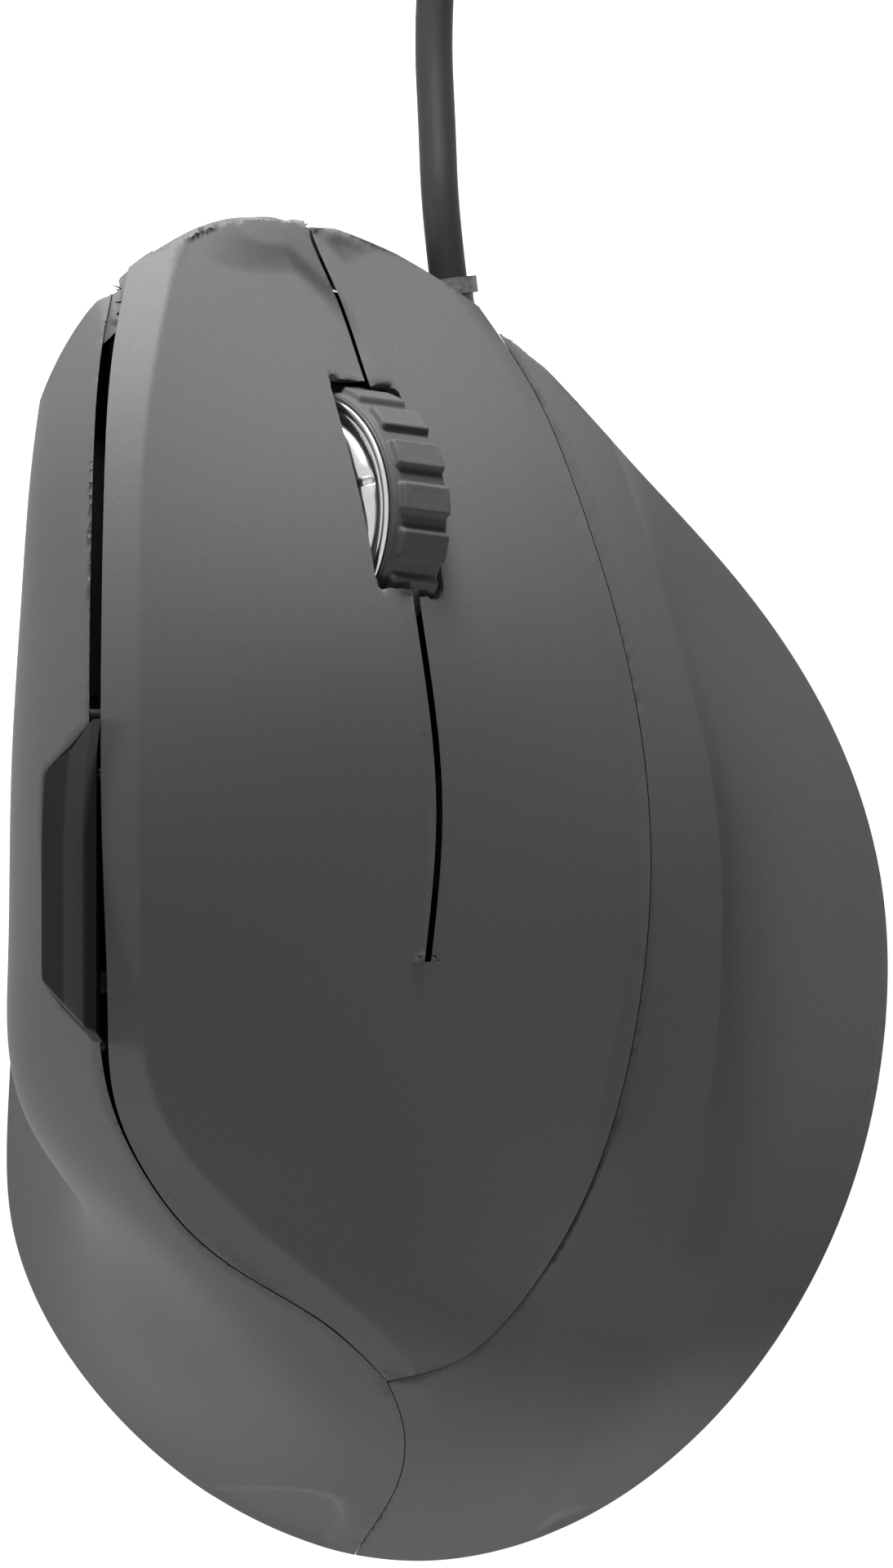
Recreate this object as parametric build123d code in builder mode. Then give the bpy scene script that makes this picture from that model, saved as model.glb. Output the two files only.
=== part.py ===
"""A right-handed upright desk mouse with a cord, built as the moulder and the assembler see it.

+Y is the front, where the cord leaves, +X is the little-finger side and +Z is up.
The origin lies on the desk under the middle of the housing.
"""
from build123d import *
import math
import os

os.makedirs("parts", exist_ok=True)

# Which way a block or a rod grows from its place
upward = (Align.CENTER, Align.CENTER, Align.MIN)
downward = (Align.CENTER, Align.CENTER, Align.MAX)
forward = (Align.CENTER, Align.MIN, Align.CENTER)
rearward = (Align.CENTER, Align.MAX, Align.CENTER)

# Overall size of the housing
length = 114.0
width = 75.4
height = 63.0

# Housing walls and the gaps between mouldings
wall = 2.0
seam_gap = 0.3
groove_width = 1.0
rim_height = 24.0
lip_drop = 8.0
lip_gap = 1.5
nose_gap = 0.8
base_thickness = 2.0
foot_thickness = 0.6
base_gap = 0.3
reach = 20.0

# Scroll wheel, its slot and the two finger keys
wheel_radius = 11.8
wheel_width = 6.8
wheel_depth = 8.2
slot_length = 19.5
slot_width = 8.0
slot_corner = 1.0
slit_width = 0.5
slit_run_on = 10.0
flex_gap = 0.3
key_post_radius = 1.6

# Scroll wheel details
tyre_thickness = 2.6
pad_height = 0.6
pad_count = 18
pad_edge = 0.9
hub_web = 1.4
hub_rim = 1.5
spoke_count = 6
spoke_width = 1.5
boss_radius = 2.4
axle_radius = 1.1
axle_clearance = 0.2
pad_gap = 1.15
tyre_chamfer = 0.4
hub_lip = 0.2
axle_left = 8.0
axle_right = 10.2

# Wheel cradle, measured from the wheel's middle on the finger plane
cradle_drop = 1.8
cradle_height = 2.4
cradle_half = 6.6
cradle_bar = 2.0
cradle_front = 16.4
cradle_rear = 15.0
cheek_length = 5.2
cheek_rise = 2.6
front_bar_rise = 2.2
front_bar_floor = 0.4
side_bar_floor = 1.6
pivot_half = 9.2
pivot_radius = 0.9
mount_width = 4.0
mount_bar = 1.6
encoder_size = 8.8
encoder_shift = -0.6
encoder_thickness = 4.5
tact_size = 4.5
tact_rise = 1.0
tact_stem_radius = 0.9

# Boards and switches
key_board_width = 30.0
key_board_length = 37.0
board_slot_length = 24.5
board_screw_across = (4.9, 12.0)
board_screw_along = 15.4
rib_left = -6.0
rib_right = 13.5
rib_thickness = 1.6
screw_boss_length = 6.0
screw_boss_radius = 2.0
board_thickness = 1.2
board_depth = 14.0
switch_length = 12.8
switch_width = 5.8
plunger_rise = 1.2
well_share = 0.8
stem_share = 0.25
plunger_radius = 1.1
contact_gap = 0.3
switch_top = 7.8
switch_across = 10.5
switch_along = 10.6
plunger_along = 8.0
wheel_clearance = 0.8

# Thumb rocker
rocker_proud = 1.1
rocker_thickness = 2.7
rocker_gap = 0.45
rocker_bevel = 0.8
pin_radius = 0.8
rocker_length = 26.5
rocker_height = 7.6
rocker_front_cut = 4.5
rocker_rear_cut = 4.8
rocker_corner = 3.1
thumb_plate_depth = 5.2
thumb_boss_up = -3.2
thumb_boss_along = 13.6
thumb_boss_radius = 2.2
rocker_place_share = (-0.422, 0.009)
flank_normal = Vector(-0.86, 0, 0.51)
pin_depth = 3.8
pin_length = 6.2
lug_up = -0.6
lug_height = 3.2
lug_width = 3.6
lug_depth = 3.4
nub_up = -1.5
nub_along = 8.5
nub_depth = 2.4
ear_width = 1.2
ear_depth = 2.5
bracket_up = -2.6
bracket_height = 6.0
bracket_length = 31.0
thumb_board_drop = 3.8
thumb_board_length = 23.0
thumb_switch_length = 6.0
thumb_switch_width = 3.6

# Base plate, feet and main board
cup_radius = 3.8
standoff_radius = 1.9
screw_head_radius = 2.4
screw_head_height = 1.3
screw_radius = 1.2
foot_length = 16.0
foot_width = 6.0
foot_recess = 0.3
foot_shares = {
    "front": ((-0.106, 0.368), -20),
    "rear": ((0.0, -0.421), 0),
    "left": ((-0.385, -0.105), 90),
    "right": ((0.385, -0.044), 90),
}
main_board_height = 6.2
main_board_size = (28.0, 32.0)
board_share = (0.053, -0.053)
standoff_spread = (11.8, 13.8)
sensor_share = (0.040, -0.053)
sensor_opening = (9.0, 6.0)
sensor_chip_size = (10.0, 12.0)
sensor_chip_height = 2.2
lens_size = (12.0, 16.0)
lens_dome = (6.0, 4.0)
chip_share = (0.160, -0.110)
chip_size = (6.0, 6.0)
chip_height = 0.9
socket_share = (0.053, 0.055)
socket_size = (7.5, 4.5)
socket_height = 4.8
inner_lead_radius = 1.3
inner_lead_shares = ((0.020, 0.258, 0.075), (0.031, 0.185, 0.084))

# Screw posts, screws and small fits
fit_gap = 0.1
post_foot = 4.4
post_radius = 2.8
post_draft = 1.2
thumb_post_height = 21.5
pilot_radius = 1.25
pilot_depth = 6.0
small_screw_radius = 0.8
small_head_height = 1.1
cover_post_share = (-0.119, -0.246)
thumb_post_shares = ((-0.312, 0.228), (-0.265, -0.298))
outer_post_shares = ((0.274, 0.108), (0.172, -0.289))

# Cord exit
cord_exit_share = (0.002, 0.457)
cord_exit_height = 7.6
cord_way_share = (-0.12, 0.993)
collar_radius = 2.4
collar_length = 1.4
grommet_neck_radius = 1.95
grommet_flange_back = 6.0
grommet_flange_radius = 3.2
grommet_flange_length = 1.2

# Cord
cord_diameter = 3.2
coil_pitch = 3.8
coil_radius = 25.2
coil_layers = 4
coil_steps = 6
arc_share = 0.45
lead_shares = (
    (-0.0070, 0.5702, 0.0430), (-0.0105, 0.6404, 0.0211), (-0.0053, 0.7193, 0.0149),
    (0.0228, 0.7982, 0.0145), (0.0526, 0.8772, 0.0145), (0.0526, 0.9474, 0.0145),
)
tail_shares = (
    (0.0526, 1.0912, 0.1145), (0.0632, 1.1772, 0.1079), (0.0544, 1.2649, 0.0965),
    (-0.0026, 1.3333, 0.0833), (-0.0921, 1.3627, 0.0702), (-0.1816, 1.3333, 0.0570),
    (-0.2368, 1.2596, 0.0456), (-0.2404, 1.1754, 0.0351), (-0.2404, 1.0921, 0.0351),
)

# Plug
neck_share = 0.62
neck_length = 4.0
grip_size = (15.6, 7.8)
grip_corner = 2.2
grip_length = 24.0
plug_size = (12.0, 4.5)
plug_corner = 0.5
plug_sheet = 0.3
plug_length = 18.75
window_size = 2.4
tongue_size = (11.1, 1.9)
contact_inset = 1.5
contact_pitch = 2.3
contact_width = 1.1
contact_count = 4

# Sections across the housing, from the rear to the front, as shares of the length
station_shares = (
    -0.535, -0.500, -0.430, -0.360, -0.272, -0.175,
    -0.053, 0.088, 0.211, 0.325, 0.430, 0.561,
)

# Lines that run along the housing from rear to front, one place for each section.
# Each place is x as a share of the width and z as a share of the height.
form_line_shares = {
    "skirt_left": (
        (-0.345, -0.317), (-0.332, -0.143), (-0.365, -0.016), (-0.458, -0.024),
        (-0.531, -0.024), (-0.524, 0.008), (-0.517, 0.016), (-0.511, 0.024),
        (-0.504, 0.024), (-0.491, 0.024), (-0.471, 0.024), (-0.438, 0.016),
    ),
    "ledge": (
        (-0.265, -0.222), (-0.255, -0.032), (-0.290, 0.105), (-0.382, 0.143),
        (-0.442, 0.159), (-0.459, 0.143), (-0.438, 0.143), (-0.418, 0.151),
        (-0.405, 0.159), (-0.391, 0.159), (-0.371, 0.151), (-0.338, 0.127),
    ),
    "groove": (
        (-0.205, -0.165), (-0.198, 0.028), (-0.236, 0.195), (-0.318, 0.310),
        (-0.389, 0.381), (-0.411, 0.381), (-0.378, 0.381), (-0.362, 0.389),
        (-0.358, 0.389), (-0.353, 0.381), (-0.338, 0.325), (-0.312, 0.254),
    ),
    "bulge": (
        (-0.165, -0.140), (-0.160, 0.052), (-0.176, 0.286), (-0.239, 0.468),
        (-0.332, 0.627), (-0.463, 0.667), (-0.489, 0.690), (-0.485, 0.706),
        (-0.475, 0.690), (-0.462, 0.635), (-0.438, 0.524), (-0.405, 0.381),
    ),
    "flank": (
        (-0.132, -0.128), (-0.128, 0.063), (-0.114, 0.349), (-0.172, 0.556),
        (-0.289, 0.730), (-0.415, 0.825), (-0.443, 0.873), (-0.446, 0.881),
        (-0.438, 0.844), (-0.428, 0.770), (-0.406, 0.651), (-0.369, 0.468),
    ),
    "seam": (
        (-0.108, -0.122), (-0.104, 0.066), (-0.052, 0.387), (-0.080, 0.587),
        (-0.232, 0.778), (-0.358, 0.910), (-0.383, 0.981), (-0.390, 0.994),
        (-0.389, 0.949), (-0.385, 0.860), (-0.370, 0.730), (-0.332, 0.524),
    ),
    "bevel": (
        (-0.073, -0.122), (-0.066, 0.064), (-0.013, 0.384), (-0.027, 0.587),
        (-0.166, 0.759), (-0.306, 0.902), (-0.338, 0.978), (-0.340, 0.990),
        (-0.340, 0.946), (-0.337, 0.857), (-0.314, 0.727), (-0.272, 0.524),
    ),
    "face": (
        (0.007, -0.128), (0.007, 0.056), (0.040, 0.363), (0.033, 0.548),
        (-0.013, 0.635), (-0.066, 0.714), (-0.080, 0.752), (-0.086, 0.765),
        (-0.106, 0.746), (-0.126, 0.656), (-0.146, 0.543), (-0.159, 0.421),
    ),
    "crease": (
        (0.060, -0.151), (0.056, 0.025), (0.086, 0.327), (0.093, 0.484),
        (0.119, 0.476), (0.178, 0.365), (0.221, 0.346), (0.225, 0.338),
        (0.190, 0.333), (0.127, 0.325), (0.034, 0.317), (-0.066, 0.286),
    ),
    "edge": (
        (0.099, -0.179), (0.093, -0.003), (0.139, 0.262), (0.186, 0.349),
        (0.239, 0.278), (0.288, 0.225), (0.310, 0.206), (0.298, 0.203),
        (0.249, 0.211), (0.192, 0.214), (0.113, 0.217), (0.027, 0.198),
    ),
    "wall": (
        (0.126, -0.203), (0.119, -0.029), (0.170, 0.210), (0.233, 0.276),
        (0.279, 0.203), (0.308, 0.168), (0.326, 0.152), (0.314, 0.149),
        (0.265, 0.156), (0.210, 0.163), (0.133, 0.171), (0.050, 0.163),
    ),
    "valley": (
        (0.153, -0.235), (0.146, -0.060), (0.199, 0.156), (0.281, 0.184),
        (0.325, 0.143), (0.345, 0.121), (0.362, 0.108), (0.350, 0.106),
        (0.301, 0.111), (0.245, 0.119), (0.172, 0.130), (0.093, 0.133),
    ),
    "flare": (
        (0.186, -0.278), (0.172, -0.095), (0.225, 0.100), (0.329, 0.095),
        (0.385, 0.083), (0.411, 0.079), (0.424, 0.075), (0.411, 0.075),
        (0.351, 0.079), (0.298, 0.087), (0.225, 0.098), (0.146, 0.103),
    ),
    "skirt_right": (
        (0.239, -0.365), (0.225, -0.159), (0.279, -0.016), (0.398, -0.016),
        (0.504, 0.013), (0.570, 0.019), (0.584, 0.029), (0.557, 0.032),
        (0.491, 0.035), (0.398, 0.044), (0.318, 0.054), (0.239, 0.063),
    ),
}

# Where a section changes from one smooth stretch to the next: the seam, the bevel, the crease
# and the lower edge stay as lines on the surface
stretch_names = ("skirt_left", "seam", "bevel", "crease", "edge", "skirt_right")
skirt_floor_share = -0.45

# Outline of the housing seen from above, and its footprint on the desk, as shares of the
# width and the length
outline_shares = (
    (-0.212, 0.501), (-0.082, 0.481), (0.025, 0.443), (0.194, 0.334), (0.338, 0.225),
    (0.440, 0.117), (0.491, 0.008), (0.495, -0.105), (0.463, -0.211), (0.351, -0.355),
    (0.166, -0.464), (-0.038, -0.500), (-0.231, -0.464), (-0.418, -0.355), (-0.492, -0.246),
    (-0.495, -0.149), (-0.512, -0.035), (-0.512, 0.105), (-0.491, 0.263), (-0.424, 0.406),
    (-0.329, 0.474),
)
footprint_shares = (
    (-0.199, 0.470), (-0.082, 0.458), (0.016, 0.428), (0.188, 0.330), (0.337, 0.225),
    (0.440, 0.117), (0.491, 0.008), (0.495, -0.105), (0.463, -0.211), (0.351, -0.355),
    (0.166, -0.464), (-0.038, -0.500), (-0.231, -0.464), (-0.418, -0.355), (-0.492, -0.246),
    (-0.493, -0.149), (-0.475, -0.018), (-0.454, 0.114), (-0.424, 0.246), (-0.374, 0.364),
    (-0.298, 0.441),
)

# Seams seen from above: the ridge seam from the front to the tip, with the share of the groove
# that is open at each place, then the crease seam and the rear seam
ridge_seam_shares = (
    (-0.356, 0.512), (-0.358, 0.478), (-0.365, 0.449), (-0.374, 0.418), (-0.387, 0.307),
    (-0.390, 0.175), (-0.389, 0.044), (-0.382, -0.088), (-0.372, -0.150), (-0.331, -0.211),
    (-0.281, -0.253), (-0.207, -0.289), (-0.134, -0.319),
)
groove_open_shares = (1.0, 1.0, 1.0, 1.0, 1.0, 1.0, 1.0, 0.9, 0.4, 0.2, 0.2, 0.2, 0.2)
tip_share = (-0.066, -0.361)
crease_seam_shares = (
    (0.012, -0.346), (0.085, -0.301), (0.164, -0.211), (0.214, -0.088), (0.227, 0.044),
    (0.200, 0.175), (0.139, 0.307), (0.103, 0.364), (0.039, 0.431), (-0.013, 0.479),
)
rear_seam_shares = ((-0.048, -0.397), (-0.052, -0.434), (-0.098, -0.489), (-0.126, -0.526))
front_parting_share = (-0.159, 0.544)

# The finger face at the scroll wheel: which way it looks and which way the wheel rolls
wheel_place_share = (-0.062, 0.302)
finger_normal = Vector(0.631, 0.423, 0.651)
roll_way = Vector(-0.217, 0.901, -0.375)
front_slit_shares = ((-0.164, 0.512), (-0.155, 0.492), (-0.121, 0.439), (-0.093, 0.385))
rear_slit_shares = ((-0.034, 0.219), (-0.011, 0.104), (-0.008, 0.056), (-0.020, -0.046))
flex_share = -0.046

# Corners, seen from the front, of the part of the inside that the finger zone leaves alone
zone_floor_shares = ((-0.6, 0.7), (0.4, -0.1), (0.4, -0.5), (-0.6, -0.5))


def finish(name, part):
    """Labels a finished piece and writes it out."""
    part.label = name
    export_step(part, f"parts/{name}.step")
    print(name, part.is_valid, [round(solid.volume) for solid in part.solids()])


def plan_place(share):
    """A place seen from above, from its shares of the width and the length."""
    return (share[0] * width, share[1] * length)


def plan_places(shares):
    return [plan_place(share) for share in shares]


def inset_places(places, depth, closed=False):
    """Moves each place to the right of the way along the line, by depth."""
    count = len(places)
    moved = []
    for index, place in enumerate(places):
        before = places[index - 1] if closed or index else place
        after = places[(index + 1) % count] if closed or index + 1 < count else place
        way = Vector(after[0] - before[0], after[1] - before[1]).normalized()
        moved.append((place[0] + way.Y * depth, place[1] - way.X * depth))
    return moved


def section_places(index, depth):
    """One section of the housing's skin, set in by depth, from its left to its right foot."""
    places = []
    for line in form_line_shares.values():
        share = line[index]
        places.append((share[0] * width, share[1] * height))
    return inset_places(places, depth)


def skin_solid(depth):
    """The solid under the skin, with its sides not yet trimmed to the outline."""
    names = list(form_line_shares)
    stops = [names.index(name) for name in stretch_names]
    floor = skirt_floor_share * height
    with BuildPart() as body:
        for index, share in enumerate(station_shares):
            places = section_places(index, depth)
            with BuildSketch(Plane(origin=(0, share * length, 0), x_dir=(1, 0, 0), z_dir=(0, -1, 0))):
                with BuildLine():
                    for first, last in zip(stops, stops[1:]):
                        if last - first > 1:
                            Spline(*places[first : last + 1])
                        else:
                            Line(places[first], places[last])
                    left, right = places[0], places[-1]
                    Polyline(right, (right[0], floor), (left[0], floor), left)
                make_face()
        loft()
    return body.part


def outline_solid(inset):
    """The upright block that the outline cuts, narrower at the desk than above the rim."""
    with BuildPart() as block:
        for shares, level in ((footprint_shares, 0), (outline_shares, rim_height)):
            with BuildSketch(Plane.XY.offset(level)):
                with BuildLine():
                    Spline(*inset_places(plan_places(shares), inset, closed=True), periodic=True)
                make_face()
        loft()
        extrude(block.faces().sort_by(Axis.Z)[-1], amount=height)
    return block.part


def plan_prism(*lines):
    """An upright block over a closed outline, drawn as smooth lines joined end to end."""
    with BuildPart() as block:
        with BuildSketch(Plane.XY.offset(-height)):
            with BuildLine():
                for line in lines:
                    if len(line) > 2:
                        Spline(*line)
                    else:
                        Line(*line)
            make_face()
        extrude(amount=height + height + height)
    return block.part


def above(level, inset=0):
    """The outline block from a level upward."""
    with BuildPart() as block:
        add(outline_solid(inset))
        with Locations((0, 0, level)):
            Box(width * 2, length * 2, height * 2, align=downward, mode=Mode.SUBTRACT)
    return block.part


# The housing as one hollow moulding, before its seams are cut
skin = skin_solid(0)
inner_skin = skin_solid(wall)
with BuildPart() as housing:
    add(above(foot_thickness))
    add(skin, mode=Mode.INTERSECT)
    add(inner_skin & outline_solid(wall), mode=Mode.SUBTRACT)


def skin_height(x, y):
    """How high the outer skin stands at a place seen from above."""
    hits = skin.find_intersection_points(Axis((x, y, -height), (0, 0, 1)))
    return max(point.Z for point, normal in hits)


def on_skin(share):
    x, y = plan_place(share)
    return Vector(x, y, skin_height(x, y))


# The finger zone: what the palm cover and the two keys are cut from
tip = plan_place(tip_share)
ridge = plan_places(ridge_seam_shares)
crease = plan_places(crease_seam_shares)
opening = [share * groove_width / 2 for share in groove_open_shares]
ridge_right = [(x + half, y) for (x, y), half in zip(ridge, opening)]
ridge_left = [(x - half, y) for (x, y), half in zip(ridge, opening)]
crease_right = [(x + seam_gap, y) for x, y in crease]
gap_tip = (tip[0], tip[1] - seam_gap)


def front_cap(start, end):
    """Two corners out in front of the housing that close an outline."""
    far = length / 2 + reach
    return [(end, (end[0], far)), ((end[0], far), (start[0], far)), ((start[0], far), start)]


with BuildPart() as zone_core:
    with BuildSketch(Plane.XZ.offset(-length)):
        with BuildLine():
            corners = [(x * width, z * height) for x, z in zone_floor_shares]
            Polyline(*corners, close=True)
        make_face()
    extrude(amount=length * 2)

zone = plan_prism(ridge_right + [tip], [tip] + crease, *front_cap(ridge_right[0], crease[-1]))
zone_with_gap = plan_prism(
    ridge_left + [gap_tip], [gap_tip] + crease_right, *front_cap(ridge_left[0], crease_right[-1])
)

with BuildPart() as finger_zone:
    add(housing.part)
    add(zone - Pos(0, 0, lip_gap) * zone_core.part, mode=Mode.INTERSECT)
    add(Pos(0, 0, -lip_drop) * skin, mode=Mode.SUBTRACT)

with BuildPart() as side_shells:
    add(housing.part)
    for back in (0, nose_gap):
        lip = Pos(0, -back, -lip_drop - lip_gap) * skin
        add(zone_with_gap - zone_core.part - lip, mode=Mode.SUBTRACT)


def local_plane(place, normal, roll, depth=0):
    """A plane under a place on the skin: local y runs along roll and local z looks out."""
    across = roll.cross(normal)
    return Plane(origin=place - normal.normalized() * depth, x_dir=across, z_dir=normal)


wheel_place = on_skin(wheel_place_share)


def finger_plane(depth):
    """Parallel to the finger face at the scroll wheel, with local x along the axle."""
    return local_plane(wheel_place, finger_normal, roll_way, depth)


# The two keys: the front of the finger zone, cut by the slit and the wheel slot
def slit_sides(shares):
    """Places of a slit on the finger face, as two lines half a slit either side of it."""
    middle = [finger_plane(0).to_local_coords(on_skin(share)) for share in shares]
    first_way = (middle[0] - middle[1]).normalized()
    last_way = (middle[-1] - middle[-2]).normalized()
    middle = [middle[0] + first_way * slit_run_on] + middle + [middle[-1] + last_way * slit_run_on / 4]
    left = [(place.X - slit_width / 2, place.Y) for place in middle]
    right = [(place.X + slit_width / 2, place.Y) for place in middle]
    return left, right


flex_line = flex_share * length
with BuildPart() as keys:
    add(finger_zone.part)
    with Locations((0, flex_line + flex_gap / 2, 0)):
        Box(width * 2, length * 2, height * 4, align=rearward, mode=Mode.SUBTRACT)
    with BuildSketch(finger_plane(0)):
        RectangleRounded(slot_width, slot_length, radius=slot_corner)
    extrude(amount=wheel_radius, both=True, mode=Mode.SUBTRACT)
    for shares in (front_slit_shares, rear_slit_shares):
        left, right = slit_sides(shares)
        with BuildSketch(finger_plane(0)):
            with BuildLine():
                Spline(*left)
                Line(left[-1], right[-1])
                Spline(*reversed(right))
                Line(right[0], left[0])
            make_face()
        extrude(amount=reach * 2, both=True, mode=Mode.SUBTRACT)

left_plate, right_plate = keys.solids().sort_by(Axis.X)[0], keys.solids().sort_by(Axis.X)[-1]
mid_skin = skin_solid(wall / 2)


def axle_plane(offset=0):
    """Square to the axle, through the wheel's middle, with local y looking out of the face."""
    middle = finger_plane(wheel_depth)
    return Plane(origin=middle.origin + middle.x_dir * offset, x_dir=middle.y_dir, z_dir=middle.x_dir)


with BuildPart() as wheel_room:
    with BuildSketch(axle_plane(-slot_width / 2)):
        Circle(wheel_radius + wheel_clearance)
    extrude(amount=slot_width)


def finger_key(plate, side):
    """A key plate with the post that presses its switch."""
    with BuildPart() as post:
        with BuildSketch(finger_plane(switch_top - plunger_rise - contact_gap)):
            with Locations((side * switch_across, plunger_along)):
                Circle(key_post_radius)
        extrude(amount=switch_top)
        add(mid_skin, mode=Mode.INTERSECT)
    with BuildPart() as key:
        add(plate)
        add(wheel_room.part, mode=Mode.SUBTRACT)
        add(post.part)
    return key.part


finish("left_key", finger_key(left_plate, -1))
finish("right_key", finger_key(right_plate, 1))


# The palm cover: the rear of the finger zone, on a long screw post that stands on the base
def screw_post(place, foot_radius, top_radius, tall):
    """A post from above the base up into the skin."""
    x, y = place
    with BuildPart() as post:
        with Locations((x, y, post_foot)):
            Cone(foot_radius, top_radius, tall, align=upward)
        add(mid_skin, mode=Mode.INTERSECT)
    return post.part


def pilot_hole(place):
    """What a base screw bites into, from the foot of its post upward."""
    x, y = place
    with BuildPart() as hole:
        with Locations((x, y, post_foot)):
            Cylinder(pilot_radius, pilot_depth, align=upward)
    return hole.part


with BuildPart() as palm_cover:
    add(finger_zone.part)
    with Locations((0, flex_line - flex_gap / 2, 0)):
        Box(width * 2, length * 2, height * 4, align=forward, mode=Mode.SUBTRACT)
    add(screw_post(plan_place(cover_post_share), post_radius, post_radius * 2, height))
    add(pilot_hole(plan_place(cover_post_share)), mode=Mode.SUBTRACT)
finish("palm_cover", palm_cover.part)


# The two side shells, parted behind the tip and below the keys
def thumb_side(shift):
    """The block over everything on the thumb's side of the parting, moved across by shift."""
    rear = [tip] + plan_places(rear_seam_shares)
    rear = [(x + shift, y) for x, y in rear]
    front = plan_place(front_parting_share)
    front = (front[0] + shift, front[1])
    far_left = -width
    corners = [(rear[-1][0], -length), (far_left, -length), (far_left, length), (front[0], length)]
    return plan_prism(
        rear, [rear[-1], corners[0]], [corners[0], corners[1]], [corners[1], corners[2]],
        [corners[2], corners[3]], [corners[3], front], [front, rear[0]],
    )


def thumb_plane(depth):
    """Parallel to the flank under the thumb rocker; local x runs up the flank, local y forward."""
    return local_plane(rocker_place, flank_normal, Vector(0, 1, 0), depth)


rocker_place = on_skin(rocker_place_share)


def rocker_outline(grow=0, open_top=0):
    """Places of the rocker's outline on the thumb plane, grown outward by a gap."""
    top = rocker_height / 2
    half = rocker_length / 2
    places = [
        (top + grow, half + grow), (-top - grow, half - rocker_front_cut + grow / 2),
        (-top - grow, -half + rocker_rear_cut), (-top / 2 - grow / 2, -half + rocker_corner - grow),
        (top + grow, -half - grow),
    ]
    if open_top:
        places += [(top + open_top, -half - grow), (top + open_top, half + grow)]
    return places


thumb_boss_places = ((thumb_boss_up, thumb_boss_along), (thumb_boss_up, -thumb_boss_along))
with BuildPart() as thumb_bosses:
    with BuildSketch(thumb_plane(thumb_plate_depth)):
        with Locations(*thumb_boss_places):
            Circle(thumb_boss_radius)
    extrude(amount=thumb_plate_depth * 2)
    add(mid_skin, mode=Mode.INTERSECT)

with BuildPart() as thumb_side_shell:
    add(side_shells.part)
    add(thumb_side(-seam_gap / 2), mode=Mode.INTERSECT)
    with BuildSketch(thumb_plane(0)):
        with BuildLine():
            Polyline(*rocker_outline(rocker_gap, reach / 4), close=True)
        make_face()
    extrude(amount=wall * 3, both=True, mode=Mode.SUBTRACT)
    add(thumb_bosses.part)
    with BuildSketch(thumb_plane(thumb_plate_depth)):
        with Locations(*thumb_boss_places):
            Circle(small_screw_radius + fit_gap)
    extrude(amount=thumb_plate_depth - wall, mode=Mode.SUBTRACT)
    for share, tall in zip(thumb_post_shares, (thumb_post_height, height)):
        add(screw_post(plan_place(share), post_radius, post_radius * post_draft, tall))
        add(pilot_hole(plan_place(share)), mode=Mode.SUBTRACT)
finish("thumb_side_shell", thumb_side_shell.part)

# Where the cord leaves: a stepped hole square to the cord
cord_way = Vector(cord_way_share[0], cord_way_share[1], 0).normalized()
cord_exit = Vector(*plan_place(cord_exit_share), cord_exit_height)


def cord_plane(back):
    """Square to the cord, a distance back from its exit into the housing."""
    return Plane(origin=cord_exit - cord_way * back, x_dir=(0, 0, 1), z_dir=cord_way)


with BuildPart() as outer_side_shell:
    add(side_shells.part)
    add(thumb_side(seam_gap / 2), mode=Mode.SUBTRACT)
    for share in outer_post_shares:
        add(screw_post(plan_place(share), post_radius, post_radius * post_draft, height))
        add(pilot_hole(plan_place(share)), mode=Mode.SUBTRACT)
    with BuildSketch(cord_plane(grommet_flange_back)):
        Circle(grommet_neck_radius + fit_gap)
    extrude(amount=grommet_flange_back + reach, mode=Mode.SUBTRACT)
    with BuildSketch(cord_plane(collar_length + contact_gap)):
        Circle(collar_radius + contact_gap)
    extrude(amount=reach, mode=Mode.SUBTRACT)
    with BuildSketch(cord_plane(grommet_flange_back)):
        Circle(grommet_flange_radius + contact_gap)
    extrude(amount=-grommet_flange_back, mode=Mode.SUBTRACT)
finish("outer_side_shell", outer_side_shell.part)

with BuildPart() as cord_grommet:
    with BuildSketch(cord_plane(collar_length)):
        Circle(collar_radius)
    extrude(amount=collar_length)
    with BuildSketch(cord_plane(grommet_flange_back)):
        Circle(grommet_neck_radius)
    extrude(amount=grommet_flange_back - collar_length)
    with BuildSketch(cord_plane(grommet_flange_back + grommet_flange_length)):
        Circle(grommet_flange_radius)
    extrude(amount=grommet_flange_length)
finish("cord_grommet", cord_grommet.part)

# The scroll wheel: a soft tyre with raised pads on a spoked hub and its axle
with BuildPart() as wheel_tyre:
    with BuildSketch(axle_plane(-wheel_width / 2)):
        Circle(wheel_radius - pad_height)
        Circle(wheel_radius - tyre_thickness, mode=Mode.SUBTRACT)
    extrude(amount=wheel_width)
    chamfer(wheel_tyre.edges().filter_by(GeomType.CIRCLE).group_by(SortBy.RADIUS)[-1], tyre_chamfer)
    with BuildSketch(axle_plane(-wheel_width / 2 + pad_edge)):
        Circle(wheel_radius)
        with PolarLocations(wheel_radius, pad_count):
            Rectangle(tyre_thickness, pad_gap, mode=Mode.SUBTRACT)
        Circle(wheel_radius - pad_height * 2, mode=Mode.SUBTRACT)
    extrude(amount=wheel_width - pad_edge * 2)
finish("wheel_tyre", wheel_tyre.part)

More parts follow.
